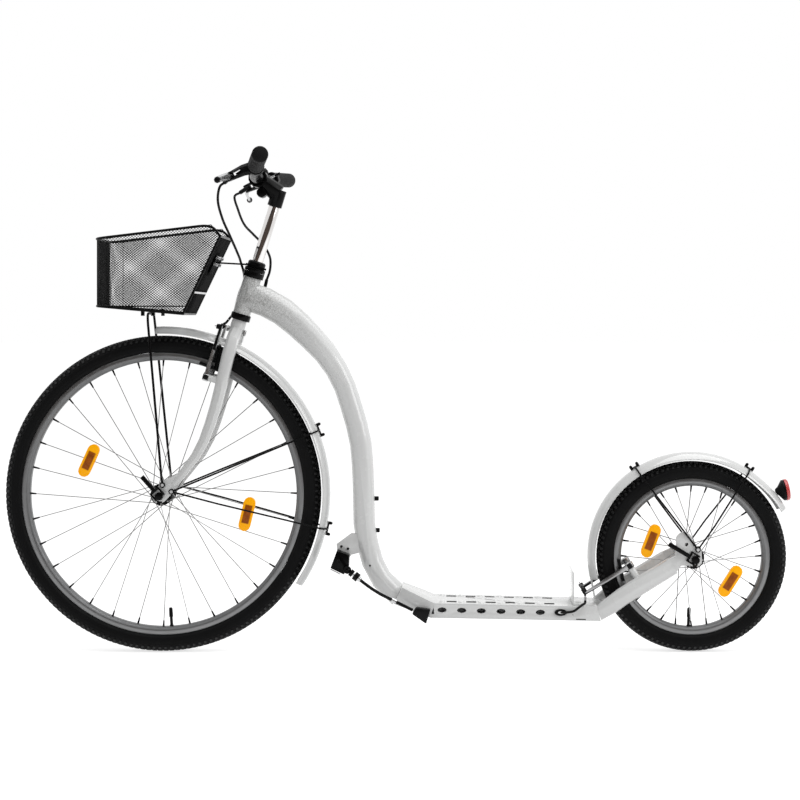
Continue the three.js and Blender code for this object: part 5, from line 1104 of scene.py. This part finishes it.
def stand_fittings():
    """The side stand's leg without its CAD foot, with the foot, collars, ferrule and bolts."""
    leg = cad_copy("kickstand_leg")
    cut_off(leg, (0.03, 0, 0.093), (0.9, 0, -0.43))
    piece("stand_leg_rod", leg, "stand_leg", black_enamel, stands_for=["kickstand_leg"])
    foot = bmesh.new()
    plate(foot, [(29, 86.5), (37, 99.8), (65.8, 95.8), (57, 67)], -75, -60.5)
    round_edges(foot, 0.0025, 30, 3)
    piece("stand_foot_rubber", foot, "stand_leg", soft_rubber, sharp=60)
    pivot, knob, bend = mm((-99, -46.6, 169), (-82.7, -48, 156.9), (-60, -52, 139.5))
    down = (knob - pivot).normalized()
    onward = (bend - knob).normalized()
    shaft = bmesh.new()
    rod(shaft, pivot + down * 0.006, knob, 0.0044, 20, finish_number=1)
    rod(shaft, pivot + down * 0.005, pivot + down * 0.012, 0.0074, 8)
    rod(shaft, knob - down * 0.005, knob + onward * 0.005, 0.0088, 8)
    rod(shaft, knob + onward * 0.005, knob + onward * 0.011, 0.0058, 20, 0.0046, finish_number=1)
    piece("stand_shaft_collars", shaft, "stand_leg", black_plastic, bright_steel, sharp=30)
    ferrule = bmesh.new()
    pin(ferrule, (-11, -59.8, 112.7), (-2, -61.1, 108.6), 0.0049, 20)
    piece("stand_leg_ferrule", ferrule, "stand_leg", bright_steel)
    head = bmesh.new()
    for x, z in ((-114.4, 213), (-101, 208.4)):
        pin(head, (x, -13.8, z), (x, -16.4, z), 0.0027, 6)
    pin(head, (-118, -51.8, 188), (-118, -53.6, 188), 0.0035, 20, end_radius=0.0028)
    edge = mm((-134, -51.6, 172.2), (-124, -51.9, 167.4), (-114.5, -51.9, 162.4))
    swept(head, edge, 0.0013, 8, finish_number=1)
    piece("stand_head_bolts", head, "frame", black_plastic, bright_steel, sharp=30)


def frame_fittings():
    """The bottle bosses' bolts, a rivet, and the ferrule where the cable goes into the tube."""
    bolts = bmesh.new()
    for x, z in ((-48.5, 308.2), (-46.5, 244.0)):
        pin(bolts, (x, 0, z), (x + 8, 0, z), 0.0046, 20)
        pin(bolts, (x + 8, 0, z), (x + 9.2, 0, z), 0.0046, 20, end_radius=0.0036)
    pin(bolts, (-56.2, -18, 175.2), (-56.2, -22, 175.2), 0.0019, 12)
    piece("frame_bolts", bolts, "frame", black_plastic)
    entry = bmesh.new()
    route = mm((-268, 16, 751.6), (-269.4, 15, 744), (-272, 13.6, 734), (-276, 12, 722))
    swept(entry, route, 0.0034, 14)
    piece("cable_entry_ferrule", entry, "frame", black_plastic)


def deck_fittings():
    """Dark strips on the deck's top as painted shadow of the groove along its edges, the slot and
    rivet on its side, the grommet's eye.
    """
    solid = cad_copy("deck")
    tree = BVHTree.FromBMesh(solid)
    solid.free()
    # Short dark rods inboard of both edges of the deck's top: painted shadow standing for the dark
    # groove line there.
    strips = bmesh.new()
    downward, lift = Vector((0, 0, -1)), Vector((0, 0, 0.0002))
    for side in (-1, 1):
        for k in range(6):
            first = 0.098 + 0.0392 * k
            above = (Vector((x, side * 0.0335, 0.3)) for x in (first, first + 0.020))
            start, end = (tree.ray_cast(place, downward)[0] + lift for place in above)
            rod(strips, start, end, 0.0013, 8)
    piece("deck_groove_shadow_strips", strips, "frame", soft_rubber)
    marks = bmesh.new()
    plate(marks, [(355.5, 74.6), (375, 74.2), (375, 72.4), (355.5, 72.8)], -58.3, -57.2)
    pin(marks, (349.4, -57.5, 82.5), (349.4, -58.4, 82.5), 0.0016, 14, finish_number=1)
    piece("deck_side_marks", marks, "frame", matt_black, spoke_steel)
    eye = bmesh.new()
    size = Matrix.Diagonal((0.0068, 0.0006, 0.0027, 1))
    place = Matrix.Translation((0.3262, -0.0609, 0.0874)) @ size
    bmesh.ops.create_uvsphere(eye, u_segments=24, v_segments=12, radius=1, matrix=place)
    piece("grommet_eye", eye, "frame", white_paint)


def brake_fittings():
    """The covers of the front brake's springs, and the web between each lever's clamp and pivot."""
    hands = (("left", -1), ("right", 1))
    for hand, side in hands:
        cover = bmesh.new()
        rod(cover, steer(-14, side * 31, -112), steer(-14, side * 31, -72), 0.0046, 12, 0.0042)
        piece("front_brake_spring_" + hand, cover, "front_arm_" + hand, black_plastic)
    for hand, side in hands:
        web = bmesh.new()
        outline = [(-312, 953.5), (-301, 961.5), (-293, 958.6), (-306, 947.5)]
        plate(web, outline, side * 149 - 1.5, side * 149 + 1.5)
        piece("lever_web_" + hand, web, "steering", black_plastic)


def basket_fittings():
    """The screws and the bright strip on the basket's back, and the clips under its floor."""
    screws = bmesh.new()
    for x, z in ((-364.5, 796), (-370, 783)):
        for y in (-27.4, 26.6):
            pin(screws, (x, y, z), (x + 7.6, y, z - 3.6), 0.0034, 12)
    plate(screws, [(-402.5, 723.2), (-400.9, 722.4), (-399.1, 726), (-400.8, 726.8)], -86, 86)
    piece("basket_back_screws", screws, "steering", bright_steel)
    clips = bmesh.new()
    for x, y in ((-507, -60), (-507, 60), (-486, -60), (-486, 60)):
        plate(clips, [(x - 3, 692), (x + 3, 692), (x + 3, 678), (x - 3, 678)], y - 5, y + 5)
    piece("basket_floor_clips", clips, "steering", black_enamel)


stand_fittings()
frame_fittings()
deck_fittings()
brake_fittings()
basket_fittings()


# Floor, background and lights

def stage_sheet(name, place, material_name):
    """A flat sheet of the stage, 2 m square before its placing, and its material's empty nodes."""
    shape = bmesh.new()
    bmesh.ops.create_grid(shape, x_segments=1, y_segments=1, size=1, matrix=place)
    mesh = bpy.data.meshes.new(name)
    shape.to_mesh(mesh)
    shape.free()
    made = placed(name, mesh)
    material = bpy.data.materials.new(material_name)
    material.use_nodes = True
    material.node_tree.nodes.clear()
    mesh.materials.append(material)
    return made, material.node_tree


def show(tree, shader):
    out = tree.nodes.new("ShaderNodeOutputMaterial")
    tree.links.new(shader.outputs[0], out.inputs["Surface"])


def seen_directly(tree):
    """1 for what the camera, a mirror or glass sees, and 0 for what only gives light."""
    path = tree.nodes.new("ShaderNodeLightPath")
    total = path.outputs["Is Camera Ray"]
    for name in ("Is Glossy Ray", "Is Transmission Ray"):
        add = tree.nodes.new("ShaderNodeMath")
        add.operation = "ADD"
        add.use_clamp = True
        tree.links.new(total, add.inputs[0])
        tree.links.new(path.outputs[name], add.inputs[1])
        total = add.outputs[0]
    return total


def floor():
    """A white floor that keeps shadows, with the glow that makes it white only where it is seen."""
    place = Matrix.Translation((0, 0, -0.0006)) @ Matrix.Diagonal((40, 40, 1, 1))
    tree = stage_sheet("floor", place, "floor_white")[1]
    diffuse = tree.nodes.new("ShaderNodeBsdfDiffuse")
    diffuse.inputs["Color"].default_value = (0.8, 0.8, 0.8, 1)
    glow = tree.nodes.new("ShaderNodeEmission")
    scale = tree.nodes.new("ShaderNodeMath")
    scale.operation = "MULTIPLY"
    scale.inputs[1].default_value = 0.66
    tree.links.new(seen_directly(tree), scale.inputs[0])
    tree.links.new(scale.outputs[0], glow.inputs["Strength"])
    total = tree.nodes.new("ShaderNodeAddShader")
    tree.links.new(diffuse.outputs[0], total.inputs[0])
    tree.links.new(glow.outputs[0], total.inputs[1])
    show(tree, total)


def background():
    """A white world that gives less light than it shows."""
    world = bpy.data.worlds.new("studio")
    bpy.context.scene.world = world
    world.use_nodes = True
    tree = world.node_tree
    back = tree.nodes["Background"]
    back.inputs["Color"].default_value = (1, 1, 1, 1)
    level = tree.nodes.new("ShaderNodeMapRange")
    level.inputs["To Min"].default_value = 0.48
    level.inputs["To Max"].default_value = 1.0
    tree.links.new(seen_directly(tree), level.inputs["Value"])
    tree.links.new(level.outputs["Result"], back.inputs["Strength"])


LAMPS_POINT_AT = Vector((0.1, 0, 0.4))


def lamp(name, place, size, power):
    """A softbox, by its place in metres, its width and height, and its watts."""
    data = bpy.data.lights.new(name, "AREA")
    data.shape = "RECTANGLE"
    data.size, data.size_y = size
    data.energy = power
    made = placed(name, data)
    made.location = place
    made.rotation_euler = (LAMPS_POINT_AT - Vector(place)).to_track_quat("-Z", "Y").to_euler()


def dark_screen():
    """A dark screen behind the camera that only shiny surfaces see, as a studio's dark end."""
    place = Matrix.Translation((0, -4.6, 1.6)) @ Matrix.Rotation(math.radians(90), 4, "X")
    place = place @ Matrix.Diagonal((7.5, 1.9, 1, 1))
    made, tree = stage_sheet("dark_screen", place, "screen_cloth")
    cloth = tree.nodes.new("ShaderNodeEmission")
    cloth.inputs["Color"].default_value = (0.09, 0.07, 0.06, 1)
    cloth.inputs["Strength"].default_value = 1
    show(tree, cloth)
    made.visible_camera = False
    made.visible_diffuse = False
    made.visible_shadow = False
    made.visible_transmission = False


floor()
background()
lamp("overhead_softbox", (0.9, -0.4, 3.2), (3.0, 2.0), 42)
lamp("side_softbox", (3.4, -1.6, 1.9), (1.6, 2.0), 26)
dark_screen()
